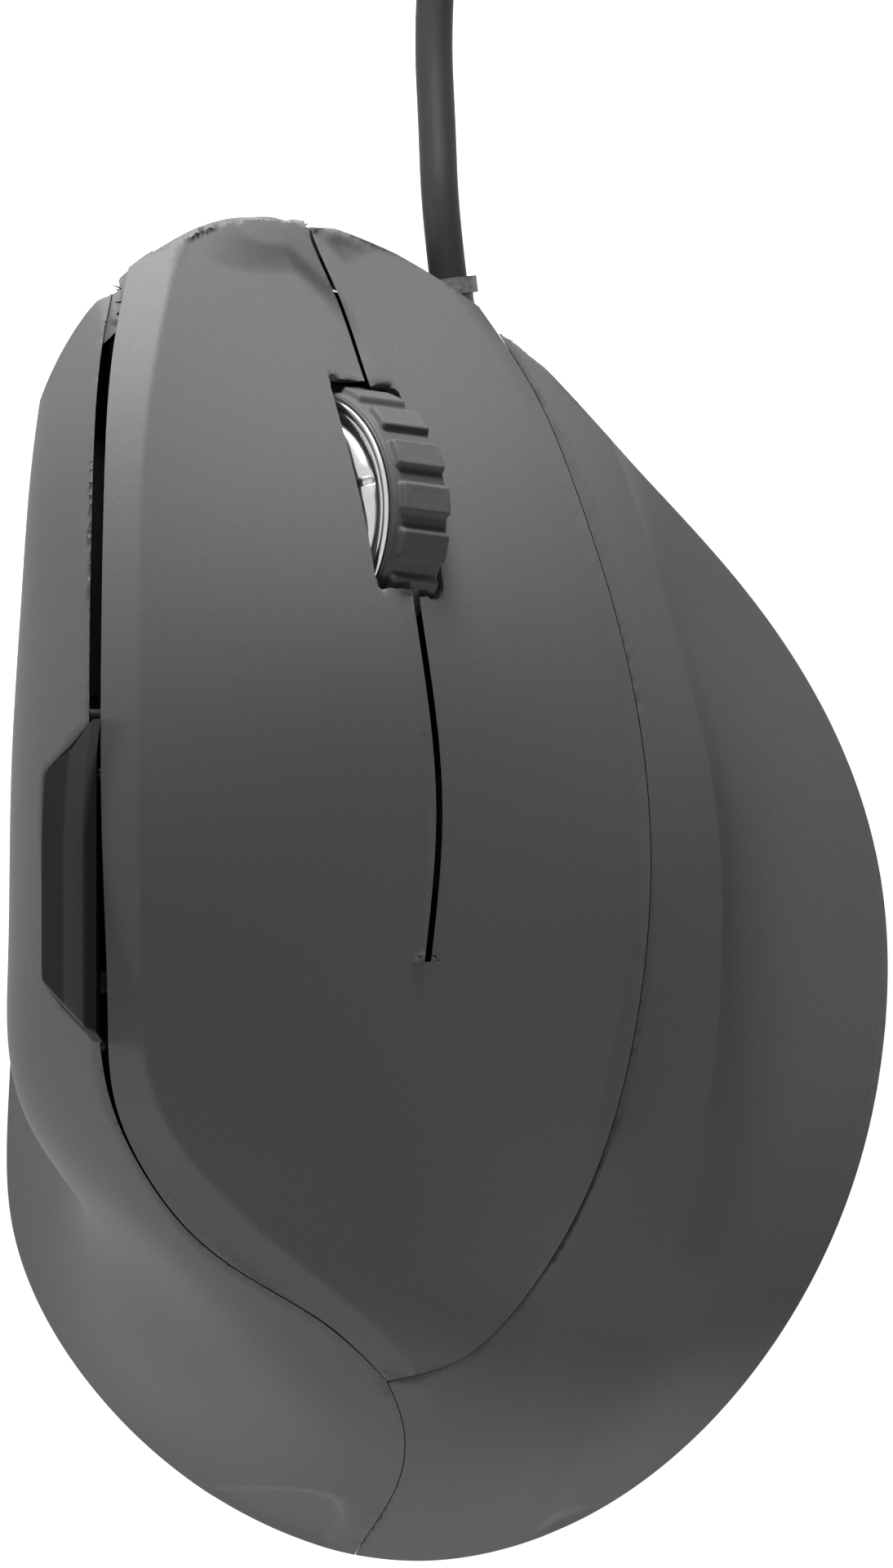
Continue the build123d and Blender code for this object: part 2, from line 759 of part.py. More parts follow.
rim_radius = wheel_radius - tyre_thickness - fit_gap
with BuildPart() as wheel_hub:
    with BuildSketch(axle_plane(-wheel_width / 2 - hub_lip)):
        Circle(rim_radius)
        Circle(rim_radius - hub_rim, mode=Mode.SUBTRACT)
    extrude(amount=wheel_width + hub_lip)
    with BuildSketch(axle_plane(hub_web)):
        Circle(rim_radius - hub_rim / 2)
    extrude(amount=hub_web)
    with BuildSketch(axle_plane(-wheel_width / 2 + hub_lip)):
        Circle(boss_radius)
        with PolarLocations(rim_radius / 2, spoke_count):
            Rectangle(rim_radius - hub_rim / 2, spoke_width)
    extrude(amount=wheel_width / 2)
    with BuildSketch(axle_plane(-axle_left)):
        Circle(axle_radius)
    extrude(amount=axle_left + axle_right)
finish("wheel_hub", wheel_hub.part)

# The wheel cradle: a frame round the wheel, hinged behind it, that carries the axle
ring_depth = wheel_depth + cradle_drop
cradle_long = cradle_front + cradle_rear
with BuildPart() as wheel_cradle:
    with BuildSketch(finger_plane(ring_depth)):
        with Locations((0, (cradle_front - cradle_rear) / 2)):
            Rectangle(cradle_half * 2, cradle_long)
            Rectangle((cradle_half - cradle_bar) * 2, cradle_long - cradle_bar * 2, mode=Mode.SUBTRACT)
    extrude(amount=-cradle_height)
    with BuildSketch(finger_plane(ring_depth + cradle_height)):
        for side in (-1, 1):
            with Locations((side * (cradle_half - cradle_bar / 2), 0)):
                Rectangle(cradle_bar, cheek_length)
    extrude(amount=cradle_height + cradle_drop + cheek_rise)
    with BuildSketch(finger_plane(ring_depth + cradle_height)):
        with Locations((0, cradle_front - cradle_bar / 2)):
            Rectangle(cradle_half * 2, cradle_bar)
    extrude(amount=cradle_height + front_bar_rise)
    with BuildSketch(finger_plane(ring_depth + front_bar_floor)):
        with Locations((0, cradle_front - cradle_bar / 2)):
            Rectangle(cradle_half * 2 - cradle_bar * 2, cradle_bar + fit_gap)
    extrude(amount=-cradle_height * 2, mode=Mode.SUBTRACT)
    with BuildSketch(finger_plane(ring_depth + side_bar_floor)):
        with Locations((0, cradle_front - cradle_bar)):
            Rectangle((cradle_half + fit_gap) * 2, cradle_bar * 2)
    extrude(amount=-cradle_height, mode=Mode.SUBTRACT)
    with BuildSketch(axle_plane(-cradle_half)):
        Circle(axle_radius + axle_clearance)
    extrude(amount=cradle_half * 2, mode=Mode.SUBTRACT)
    with BuildSketch(axle_plane(-pivot_half)):
        with Locations((-cradle_rear + cradle_bar / 2, -cradle_drop - cradle_height / 2)):
            Circle(pivot_radius)
    extrude(amount=pivot_half * 2)
finish("wheel_cradle", wheel_cradle.part)

with BuildPart() as cradle_mount:
    with BuildSketch(finger_plane(board_depth)):
        with Locations((0, -cradle_rear + cradle_bar / 2)):
            Rectangle(pivot_half * 2 + fit_gap * 2, mount_width)
            Rectangle((cradle_half + contact_gap) * 2, mount_width, mode=Mode.SUBTRACT)
    extrude(amount=board_depth - ring_depth + fit_gap)
    with BuildSketch(finger_plane(board_depth)):
        with Locations((0, -cradle_rear - mount_width / 2 + cradle_bar / 2)):
            Rectangle(pivot_half * 2 + fit_gap * 2, mount_bar)
    extrude(amount=board_depth - ring_depth - cradle_height / 2)
    with BuildSketch(axle_plane(-pivot_half * 2)):
        with Locations((-cradle_rear + cradle_bar / 2, -cradle_drop - cradle_height / 2)):
            Circle(pivot_radius + axle_clearance)
    extrude(amount=pivot_half * 4, mode=Mode.SUBTRACT)
finish("cradle_mount", cradle_mount.part)

# The wheel's encoder, clipped beside the cradle's right cheek
with BuildPart() as wheel_encoder:
    with BuildSketch(axle_plane(cradle_half + fit_gap)):
        with Locations((encoder_shift, 0)):
            RectangleRounded(encoder_size, encoder_size, radius=slot_corner)
    extrude(amount=encoder_thickness)
    with BuildSketch(axle_plane(cradle_half)):
        Circle(axle_radius + axle_clearance)
    extrude(amount=encoder_thickness, mode=Mode.SUBTRACT)
finish("wheel_encoder", wheel_encoder.part)


# Switches on the key board: a body with a well, and a stem that slides in it
def switch_body(plane, length_along, width_across, tall, stem_place, stem_radius):
    with BuildPart() as body:
        with BuildSketch(plane):
            RectangleRounded(width_across, length_along, radius=stem_radius / 2)
        extrude(amount=tall)
        with BuildSketch(plane.offset(tall)):
            with Locations(stem_place):
                Circle(stem_radius + contact_gap)
        extrude(amount=-tall * well_share, mode=Mode.SUBTRACT)
    return body.part


def switch_stem(plane, tall, rise, stem_place, stem_radius):
    top = plane.origin + plane.z_dir * (tall + rise)
    with BuildPart() as stem:
        with BuildSketch(Plane(origin=top, x_dir=plane.x_dir, z_dir=plane.z_dir)):
            with Locations(stem_place):
                Circle(stem_radius)
        extrude(amount=-rise - tall * stem_share)
    return stem.part


def shifted_plane(plane, across, along):
    """The same plane with its origin moved across and along."""
    return Plane(origin=plane.from_local_coords((across, along, 0)), x_dir=plane.x_dir, z_dir=plane.z_dir)


key_switch_height = board_depth - switch_top
stem_shift = (0, plunger_along - switch_along)
for label, side in (("left", -1), ("right", 1)):
    seat = shifted_plane(finger_plane(board_depth), side * switch_across, switch_along)
    body = switch_body(seat, switch_length, switch_width, key_switch_height, stem_shift, plunger_radius)
    stem = switch_stem(seat, key_switch_height, plunger_rise, stem_shift, plunger_radius)
    finish(f"{label}_key_switch", body)
    finish(f"{label}_switch_plunger", stem)

bar_floor = ring_depth + front_bar_floor
tact_height = board_depth - bar_floor - contact_gap - tact_rise
seat = shifted_plane(finger_plane(board_depth), 0, cradle_front - cradle_bar / 2)
finish("wheel_click_switch", switch_body(seat, tact_size, tact_size, tact_height, (0, 0), tact_stem_radius))
finish("wheel_click_stem", switch_stem(seat, tact_height, tact_rise, (0, 0), tact_stem_radius))

# The key board and its inclined bracket
board_screw_places = (
    (board_screw_across[0], board_screw_along), (board_screw_across[1], -board_screw_along),
)
with BuildPart() as key_board:
    with BuildSketch(finger_plane(board_depth + board_thickness)):
        RectangleRounded(key_board_width, key_board_length, radius=slot_corner)
        Rectangle(slot_width + wheel_clearance * 2, board_slot_length, mode=Mode.SUBTRACT)
        with Locations(*board_screw_places):
            Circle(small_screw_radius + fit_gap, mode=Mode.SUBTRACT)
    extrude(amount=board_thickness)
finish("key_board", key_board.part)

board_under = finger_plane(board_depth + board_thickness)
base_top = foot_thickness + base_thickness


def under_board(across, along):
    """Where a place on the underside of the key board lies, seen from above."""
    place = board_under.from_local_coords((across, along, 0))
    return (place.X, place.Y)


with BuildPart() as board_bracket:
    for side in (-1, 1):
        ends = [under_board(across, side * board_screw_along) for across in (rib_left, rib_right)]
        with BuildSketch(Plane.XY.offset(base_top)):
            with BuildLine():
                Line(*ends)
            trace(line_width=rib_thickness)
        extrude(amount=height)
    with BuildSketch(Plane.XY.offset(base_top)):
        with BuildLine():
            corners = [(rib_left, 1), (rib_right, 1), (rib_right, -1), (rib_left, -1)]
            places = [under_board(across, side * board_screw_along) for across, side in corners]
            Polyline(*places, close=True)
        make_face()
    extrude(amount=rib_thickness)
    for place in board_screw_places:
        with BuildSketch(shifted_plane(board_under, *place)):
            Circle(screw_boss_radius)
        extrude(amount=-screw_boss_length)
    split(bisect_by=board_under, keep=Keep.BOTTOM)
    for place in board_screw_places:
        with BuildSketch(shifted_plane(board_under, *place)):
            Circle(small_screw_radius + fit_gap)
        extrude(amount=-screw_boss_length, mode=Mode.SUBTRACT)
finish("board_bracket", board_bracket.part)


def small_screws(seats, shank):
    """A group of pan-head screws, each on a plane whose normal points out of the head."""
    with BuildPart() as screws:
        for seat in seats:
            with BuildSketch(seat):
                Circle(small_screw_radius * 2)
            extrude(amount=small_head_height)
            with BuildSketch(seat):
                Circle(small_screw_radius)
            extrude(amount=-shank)
    return screws.part


seats = [shifted_plane(finger_plane(board_depth), *place) for place in board_screw_places]
finish("key_board_screws", small_screws(seats, screw_boss_length * 0.8))


# The thumb rocker: one bevelled key that tilts on a pin over two switches
nub_places = ((nub_up, nub_along), (nub_up, -nub_along))


def thumb_block(places, size, top, tall, hole=0):
    """A block or a pair of blocks below a depth on the thumb plane."""
    with BuildPart() as block:
        with BuildSketch(thumb_plane(top)):
            with Locations(*places):
                Rectangle(*size)
                if hole:
                    Circle(hole, mode=Mode.SUBTRACT)
        extrude(amount=-tall)
    return block.part


def pin_plane(up):
    """Square to the rocker's pin, at a height up the flank."""
    middle = thumb_plane(pin_depth)
    return Plane(origin=middle.origin + middle.x_dir * up, x_dir=middle.y_dir, z_dir=middle.x_dir)


with BuildPart() as thumb_rocker:
    with BuildSketch(thumb_plane(-rocker_proud)):
        with BuildLine():
            Polyline(*rocker_outline(), close=True)
        make_face()
    extrude(amount=-rocker_thickness)
    outward = Axis(rocker_place, thumb_plane(0).z_dir)
    chamfer(thumb_rocker.faces().sort_by(outward)[-1].edges(), rocker_bevel)
    add(Pos(-rocker_gap, 0, 0) * zone_with_gap, mode=Mode.SUBTRACT)
    add(thumb_block([(lug_up, 0)], (lug_height, lug_width), rocker_thickness - rocker_proud, lug_depth))
    with BuildSketch(thumb_plane(rocker_thickness - rocker_proud)):
        with Locations(*nub_places):
            Circle(plunger_radius)
    extrude(amount=-nub_depth)
    with BuildSketch(pin_plane(-reach)):
        Circle(pin_radius + fit_gap)
    extrude(amount=reach * 2, mode=Mode.SUBTRACT)
finish("thumb_rocker", thumb_rocker.part)

with BuildPart() as rocker_pin:
    with BuildSketch(pin_plane(lug_up - pin_length / 2)):
        Circle(pin_radius)
    extrude(amount=pin_length)
finish("rocker_pin", rocker_pin.part)

ear_shift = lug_height / 2 + contact_gap + ear_width / 2
ear_places = [(lug_up - ear_shift, 0), (lug_up + ear_shift, 0)]
with BuildPart() as rocker_bracket:
    bracket_size = (bracket_height, bracket_length)
    add(thumb_block([(bracket_up, 0)], bracket_size, thumb_plate_depth, board_thickness))
    ear_size = (ear_width, lug_width + ear_width)
    add(thumb_block(ear_places, ear_size, ear_depth, thumb_plate_depth - ear_depth))
    ear_base = (ear_shift * 2 + ear_width, lug_width + ear_width)
    add(thumb_block([(lug_up, 0)], ear_base, thumb_plate_depth, board_thickness))
    add(thumb_block([(bracket_up, 0)], (lug_width, lug_width), thumb_plate_depth, thumb_board_drop))
    with BuildSketch(thumb_plane(0)):
        with Locations(*nub_places):
            Circle(plunger_radius + contact_gap)
        with Locations(*thumb_boss_places):
            Circle(small_screw_radius + fit_gap)
    extrude(amount=-thumb_plate_depth * 2, mode=Mode.SUBTRACT)
    with BuildSketch(pin_plane(-reach)):
        Circle(pin_radius + fit_gap)
    extrude(amount=reach * 2, mode=Mode.SUBTRACT)
finish("rocker_bracket", rocker_bracket.part)

thumb_board_depth = thumb_plate_depth + thumb_board_drop
thumb_board_size = (bracket_height, thumb_board_length)
finish("thumb_board", thumb_block([(bracket_up, 0)], thumb_board_size, thumb_board_depth, board_thickness))

thumb_switch_height = thumb_board_drop - board_thickness - fit_gap
thumb_stem_top = rocker_thickness - rocker_proud + nub_depth + contact_gap
thumb_stem_rise = thumb_board_depth - thumb_switch_height - thumb_stem_top
for label, place in zip(("front", "rear"), nub_places):
    seat = shifted_plane(thumb_plane(thumb_board_depth), *place)
    body = switch_body(
        seat, thumb_switch_length, thumb_switch_width, thumb_switch_height, (0, 0), tact_stem_radius
    )
    stem = switch_stem(seat, thumb_switch_height, thumb_stem_rise, (0, 0), tact_stem_radius)
    finish(f"thumb_switch_{label}", body)
    finish(f"thumb_stem_{label}", stem)

seats = []
for place in thumb_boss_places:
    seat = shifted_plane(thumb_plane(thumb_plate_depth + board_thickness), *place)
    seats.append(Plane(origin=seat.origin, x_dir=seat.x_dir, z_dir=-seat.z_dir))
finish("thumb_screws", small_screws(seats, thumb_plate_depth - wall + board_thickness - contact_gap))

# The base plate, with a cup under each screw post, standoffs and an opening for the sensor
post_places = plan_places((cover_post_share,) + thumb_post_shares + outer_post_shares)
sensor_place = plan_place(sensor_share)
board_place = plan_place(board_share)
standoff_places = [
    (board_place[0] + x * standoff_spread[0], board_place[1] + y * standoff_spread[1])
    for x in (-1, 1) for y in (-1, 1)
]
with BuildPart() as base_plate:
    add(outline_solid(wall + base_gap))
    add(Pos(0, 0, -wall - base_gap) * skin, mode=Mode.INTERSECT)
    with Locations((0, 0, base_top)):
        Box(width * 2, length * 2, height * 3, align=upward, mode=Mode.SUBTRACT)
    with Locations((0, 0, foot_thickness)):
        Box(width * 2, length * 2, height, align=downward, mode=Mode.SUBTRACT)
    with BuildSketch(Plane.XY.offset(base_top)):
        with Locations(*post_places):
            Circle(cup_radius)
    extrude(amount=post_foot - base_top)
    with BuildSketch(Plane.XY.offset(base_top)):
        with Locations(*standoff_places):
            Circle(standoff_radius)
    extrude(amount=main_board_height - base_top)
    with BuildSketch(Plane.XY.offset(foot_thickness)):
        with Locations(*post_places):
            Circle(screw_head_radius + axle_clearance)
    extrude(amount=screw_head_height + fit_gap, mode=Mode.SUBTRACT)
    with BuildSketch(Plane.XY):
        with Locations(*post_places):
            Circle(screw_radius + axle_clearance)
        with Locations(*standoff_places):
            Circle(small_screw_radius)
        with Locations(sensor_place):
            RectangleRounded(*sensor_opening, radius=slot_corner)
    extrude(amount=height, mode=Mode.SUBTRACT)
    for share, angle in foot_shares.values():
        with BuildSketch(Plane.XY.offset(foot_thickness)):
            with Locations(plan_place(share)):
                SlotOverall(foot_length + axle_clearance, foot_width + axle_clearance, rotation=angle)
        extrude(amount=foot_recess, mode=Mode.SUBTRACT)
finish("base_plate", base_plate.part)

for label, (share, angle) in foot_shares.items():
    with BuildPart() as glide_foot:
        with BuildSketch(Plane.XY):
            with Locations(plan_place(share)):
                SlotOverall(foot_length, foot_width, rotation=angle)
        extrude(amount=foot_thickness + foot_recess)
        chamfer(glide_foot.faces().sort_by(Axis.Z)[0].edges(), foot_recess / 2)
    finish(f"glide_foot_{label}", glide_foot.part)

with BuildPart() as base_screws:
    with BuildSketch(Plane.XY.offset(foot_thickness + fit_gap)):
        with Locations(*post_places):
            Circle(screw_head_radius)
    extrude(amount=screw_head_height)
    with BuildSketch(Plane.XY.offset(foot_thickness + fit_gap)):
        with Locations(*post_places):
            Circle(screw_radius)
    extrude(amount=pilot_depth + post_foot - base_top)
    with BuildSketch(Plane.XY.offset(foot_thickness + fit_gap)):
        with Locations(*post_places):
            Rectangle(screw_radius * 2, screw_radius / 3)
            Rectangle(screw_radius / 3, screw_radius * 2)
    extrude(amount=screw_head_height / 2, mode=Mode.SUBTRACT)
finish("base_screws", base_screws.part)

# The main board with its parts
board_top = main_board_height + board_thickness


def board_piece(place, size, floor, tall, corner):
    """A rounded block above a level, seen from above at a place."""
    with BuildPart() as piece:
        with BuildSketch(Plane.XY.offset(floor)):
            with Locations(place):
                RectangleRounded(*size, radius=corner)
        extrude(amount=tall)
    return piece.part


with BuildPart() as main_board:
    add(board_piece(board_place, main_board_size, main_board_height, board_thickness, slot_corner))
    with BuildSketch(Plane.XY):
        with Locations(*standoff_places):
            Circle(small_screw_radius + fit_gap)
    extrude(amount=height, mode=Mode.SUBTRACT)
finish("main_board", main_board.part)

seats = [Plane(origin=(x, y, board_top), x_dir=(1, 0, 0), z_dir=(0, 0, 1)) for x, y in standoff_places]
finish("board_screws", small_screws(seats, pilot_depth / 2))
finish("sensor_chip", board_piece(sensor_place, sensor_chip_size, board_top, sensor_chip_height, fit_gap))
finish("controller_chip", board_piece(plan_place(chip_share), chip_size, board_top, chip_height, fit_gap))
finish("cord_socket", board_piece(plan_place(socket_share), socket_size, board_top, socket_height, fit_gap))

lens_floor = base_top + contact_gap
with BuildPart() as sensor_lens:
    add(board_piece(sensor_place, lens_size, lens_floor, main_board_height - lens_floor, slot_corner))
    add(board_piece(sensor_place, lens_dome, foot_thickness * 2, base_top, slot_corner))
finish("sensor_lens", sensor_lens.part)


# Tubes along straight runs joined by tangent arcs
def tube(name, points, radius):
    """A round tube whose arcs are as large as the two runs beside them allow."""
    places = [Vector(*point) for point in points]
    radii = []
    for before, corner, after in zip(places, places[1:], places[2:]):
        first, last = corner - before, after - corner
        half_turn = math.radians(first.get_angle(last)) / 2
        radii.append(min(first.length, last.length) * arc_share / math.tan(half_turn))
    with BuildPart() as body:
        with BuildLine() as path:
            FilletPolyline(*places, radius=radii)
        with BuildSketch(Plane(origin=places[0], z_dir=places[1] - places[0])):
            Circle(radius)
        sweep()
    long = sum(edge.length for edge in path.edges())
    section = math.pi * radius * radius
    print(name, "radii", [round(value, 1) for value in radii], "length", round(long, 1))
    print(name, "volume share", round(body.part.volume / section / long, 4))
    return body.part


def length_places(shares):
    """Places from their shares of the length along X, Y and Z."""
    return [tuple(share * length for share in place) for place in shares]


lead_start = cord_exit - cord_way * (grommet_flange_back + grommet_flange_length)
socket_place = plan_place(socket_share)
inner_end = (socket_place[0], socket_place[1] + socket_size[1] / 2, board_top + socket_height / 2)
inner_points = [tuple(lead_start), tuple(lead_start - cord_way * grommet_flange_back)]
inner_points += length_places(inner_lead_shares)
inner_points += [(inner_end[0], inner_end[1] + grommet_flange_back, inner_end[2]), inner_end]
finish("inner_lead", tube("inner lead", inner_points, inner_lead_radius))

lead_points = [tuple(cord_exit), tuple(cord_exit + cord_way * grommet_flange_back)]
lead_points += length_places(lead_shares)
coil_start = Vector(*lead_points[-1])
finish("cord_lead", tube("cord lead", lead_points, cord_diameter / 2))

# The rest of the cord: piled loops that spiral in and out, then climb a layer
turn_steps = list(range(1, coil_steps + 1)) + list(range(coil_steps - 1, -1, -1))
place = coil_start + Vector(0, cord_diameter, 0)
points = [coil_start, place]
with BuildPart() as cord_coil:
    with BuildLine() as coil_path:
        Line(coil_start, place)
        far_side = 1
        for step in turn_steps * (coil_layers // 2):
            across = (coil_radius - step * coil_pitch / 2) * 2 * far_side
            top = place.Z >= coil_start.Z + (coil_layers - 1) * coil_pitch - fit_gap
            climb = coil_pitch if step == coil_steps or (step == 0 and not top) else 0
            end = place + Vector(across, 0, climb)
            half = (end - place).length / 2
            middle = (place + end) / 2 + Vector(0, half * far_side, 0)
            ThreePointArc(place, middle, end)
            points.append(end)
            place = end
            far_side = -far_side
        Line(place, place + Vector(0, cord_diameter, 0))
    with BuildSketch(Plane(origin=coil_start, z_dir=(0, 1, 0))):
        Circle(cord_diameter / 2)
    sweep()
coil_end = place + Vector(0, cord_diameter, 0)
coil_length = sum(edge.length for edge in coil_path.edges())
coil_section = math.pi * cord_diameter * cord_diameter / 4
print("cord coil length", round(coil_length, 1))
print("cord coil volume share", round(cord_coil.part.volume / coil_section / coil_length, 4))
finish("cord_coil", cord_coil.part)

marks = []
travelled = 0
for edge in coil_path.edges():
    count = max(2, int(edge.length / cord_diameter * 2))
    for index in range(count):
        marks.append((travelled + edge.length * index / count, edge.position_at(index / count)))
    travelled += edge.length
least = min(
    (first - last).length
    for index, (start, first) in enumerate(marks)
    for end, last in marks[index + 1 :]
    if end - start > cord_diameter * 3
)
print("least gap between turns", round(least - cord_diameter, 2))

tail_points = [tuple(coil_end)] + length_places(tail_shares)
finish("cord_tail", tube("cord tail", tail_points, cord_diameter / 2))

# The plug at the cord's end
plug_start = Vector(*tail_points[-1])


def plug_plane(along):
    return Plane(origin=plug_start - Vector(0, along, 0), x_dir=(1, 0, 0), z_dir=(0, -1, 0))


with BuildPart() as usb_plug_grip:
    with BuildSketch(plug_plane(0)):
        Circle(cord_diameter * neck_share)
    with BuildSketch(plug_plane(neck_length)):
        RectangleRounded(*grip_size, radius=grip_corner)
    loft()
    with BuildSketch(plug_plane(neck_length)):
        RectangleRounded(*grip_size, radius=grip_corner)
    extrude(amount=grip_length)
finish("usb_plug_grip", usb_plug_grip.part)

shell_start = neck_length + grip_length
with BuildPart() as usb_plug_shell:
    with BuildSketch(plug_plane(shell_start)):
        RectangleRounded(*plug_size, radius=plug_corner)
        Rectangle(plug_size[0] - plug_sheet * 2, plug_size[1] - plug_sheet * 2, mode=Mode.SUBTRACT)
    extrude(amount=plug_length)
    plug_middle = plug_start - Vector(0, shell_start + plug_length / 2, 0)
    with BuildSketch(Plane(origin=plug_middle, z_dir=(0, 0, 1))):
        with Locations((-plug_size[0] / 4, 0), (plug_size[0] / 4, 0)):
            Rectangle(window_size, window_size)
    extrude(amount=plug_size[1], mode=Mode.SUBTRACT)
finish("usb_plug_shell", usb_plug_shell.part)

with BuildPart() as usb_plug_tongue:
    with BuildSketch(plug_plane(shell_start)):
        with Locations((0, -plug_size[1] / 2 + plug_sheet + tongue_size[1] / 2)):
            Rectangle(*tongue_size)
    extrude(amount=plug_length - plug_sheet * 2)
finish("usb_plug_tongue", usb_plug_tongue.part)

with BuildPart() as usb_plug_contacts:
    with BuildSketch(plug_plane(shell_start + contact_inset)):
        with Locations((0, -plug_size[1] / 2 + plug_sheet + tongue_size[1] + fit_gap)):
            with GridLocations(contact_pitch, contact_pitch, contact_count, 1):
                Rectangle(contact_width, fit_gap * 2)
    extrude(amount=plug_length - contact_inset * 2)
finish("usb_plug_contacts", usb_plug_contacts.part)
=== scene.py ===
# %% [markdown]
# # An upright corded mouse
# The CAD frame gives every piece its place and its motion. This script gives the pieces their
# looks: smooth mouldings, a rubber wheel, a polished thumb rocker and a soft cord.

# %% Start from the CAD frame
import math

import bmesh
import bpy
import numpy as np
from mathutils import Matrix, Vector
from mathutils.bvhtree import BVHTree


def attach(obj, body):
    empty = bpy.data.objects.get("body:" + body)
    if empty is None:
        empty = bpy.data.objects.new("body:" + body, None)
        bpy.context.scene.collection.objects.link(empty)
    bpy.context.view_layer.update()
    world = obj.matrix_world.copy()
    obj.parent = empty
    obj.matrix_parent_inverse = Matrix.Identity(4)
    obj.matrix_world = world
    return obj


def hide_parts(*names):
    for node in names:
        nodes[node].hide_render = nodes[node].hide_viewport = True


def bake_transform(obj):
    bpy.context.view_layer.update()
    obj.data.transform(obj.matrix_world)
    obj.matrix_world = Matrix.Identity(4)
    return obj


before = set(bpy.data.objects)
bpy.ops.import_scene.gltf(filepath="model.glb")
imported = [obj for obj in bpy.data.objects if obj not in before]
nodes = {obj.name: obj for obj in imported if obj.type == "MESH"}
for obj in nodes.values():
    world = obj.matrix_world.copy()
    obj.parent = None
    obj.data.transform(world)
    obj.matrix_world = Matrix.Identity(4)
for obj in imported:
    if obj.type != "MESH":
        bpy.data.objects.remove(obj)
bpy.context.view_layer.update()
scene = bpy.context.scene
MM = 0.001

# %% [markdown]
# ## Camera
# The photograph looks straight down with almost no perspective, so the lens is very long.
# It isn't longer still, because a view of the whole object with its cord, taken through the same
# lens, stands several metres away, and past a certain distance such a view is cut off.

# %% Camera
VIEW_HEIGHT = 132.33 * MM
VIEW_LEVEL = 32 * MM
LENS = 900
lens = bpy.data.cameras.new("camera")
lens.sensor_fit = "VERTICAL"
lens.sensor_height = 36
lens.lens = LENS
camera = bpy.data.objects.new("camera", lens)
scene.collection.objects.link(camera)
far = VIEW_HEIGHT * lens.lens / lens.sensor_height
camera.location = (0, 9.13 * MM, VIEW_LEVEL + far)
lens.clip_start = 1
lens.clip_end = far * 2
scene.camera = camera
print("camera", round(far, 2), "m up")

# %% [markdown]
# ## Materials
# Each finish is a small node tree: a base colour broken up by fine noise, a set roughness,
# and a bump for the grain of the mould.


# %% Material helper
def finish_nodes(name, color, roughness, grain=0.0, grain_size=0.0002, blotch=0.0, metallic=0.0, coat=0.0, sheen=0.0):
    """A moulded, plated or rubber finish with procedural grain, sized in metres."""
    material = bpy.data.materials.new(name)
    material.use_nodes = True
    tree = material.node_tree
    shader = tree.nodes["Principled BSDF"]
    shader.inputs["Metallic"].default_value = metallic
    shader.inputs["Roughness"].default_value = roughness
    shader.inputs["Coat Weight"].default_value = coat
    shader.inputs["Sheen Weight"].default_value = sheen
    place = tree.nodes.new("ShaderNodeTexCoord")
    fine = tree.nodes.new("ShaderNodeTexNoise")
    fine.inputs["Scale"].default_value = 1 / grain_size
    fine.inputs["Detail"].default_value = 3
    tree.links.new(place.outputs["Object"], fine.inputs["Vector"])
    ramp = tree.nodes.new("ShaderNodeMapRange")
    ramp.inputs["From Min"].default_value = 0.3
    ramp.inputs["From Max"].default_value = 0.7
    ramp.inputs["To Min"].default_value = 1 - blotch
    ramp.inputs["To Max"].default_value = 1 + blotch
    tree.links.new(fine.outputs["Fac"], ramp.inputs["Value"])
    tint = tree.nodes.new("ShaderNodeVectorMath")
    tint.operation = "SCALE"
    tint.inputs[0].default_value = color
    tree.links.new(ramp.outputs["Result"], tint.inputs["Scale"])
    tree.links.new(tint.outputs["Vector"], shader.inputs["Base Color"])
    if grain:
        bump = tree.nodes.new("ShaderNodeBump")
        bump.inputs["Strength"].default_value = 1
        bump.inputs["Distance"].default_value = grain
        tree.links.new(fine.outputs["Fac"], bump.inputs["Height"])
        tree.links.new(bump.outputs["Normal"], shader.inputs["Normal"])
    return material


# %% The finishes
shell_grey = finish_nodes("shell_grey", (0.088, 0.088, 0.09), 0.52, grain=0.000006, grain_size=0.00022, blotch=0.07)
face_grey = finish_nodes("face_grey", (0.088, 0.088, 0.09), 0.5, grain=0.000005, grain_size=0.0002, blotch=0.07)
for material in (shell_grey, face_grey):
    material.node_tree.nodes["Principled BSDF"].inputs["Specular IOR Level"].default_value = 0.08
frame_black = finish_nodes("frame_black", (0.016, 0.016, 0.017), 0.55, grain=0.00001, grain_size=0.0003, blotch=0.1)
gloss_black = finish_nodes("gloss_black", (0.006, 0.006, 0.0064), 0.12, blotch=0.02, grain_size=0.002)
gloss_black.node_tree.nodes["Principled BSDF"].inputs["Specular IOR Level"].default_value = 0.03
tyre_rubber = finish_nodes("tyre_rubber", (0.06, 0.06, 0.061), 0.6, grain=0.00001, grain_size=0.00016, blotch=0.14)
tyre_rubber.node_tree.nodes["Principled BSDF"].inputs["Specular IOR Level"].default_value = 0.12
bright_metal = finish_nodes("bright_metal", (0.6, 0.6, 0.61), 0.2, metallic=1.0, blotch=0.04, grain_size=0.0008)
screw_steel = finish_nodes("screw_steel", (0.42, 0.42, 0.43), 0.34, metallic=1.0, blotch=0.08, grain_size=0.0003)
board_green = finish_nodes("board_green", (0.016, 0.12, 0.045), 0.38, grain=0.00001, grain_size=0.0004, blotch=0.12)
switch_black = finish_nodes("switch_black", (0.02, 0.02, 0.021), 0.42, grain=0.000008, grain_size=0.0002, blotch=0.08)
stem_white = finish_nodes("stem_white", (0.72, 0.72, 0.69), 0.4, grain=0.000004, grain_size=0.0003, blotch=0.03)
chip_black = finish_nodes("chip_black", (0.014, 0.014, 0.015), 0.6, grain=0.00001, grain_size=0.00012, blotch=0.15)
glide_pad = finish_nodes("glide_pad", (0.012, 0.012, 0.0125), 0.3, grain=0.000004, grain_size=0.0003, blotch=0.08)
cord_jacket = finish_nodes("cord_jacket", (0.014, 0.014, 0.0145), 0.55, grain=0.000008, grain_size=0.0004, blotch=0.08)
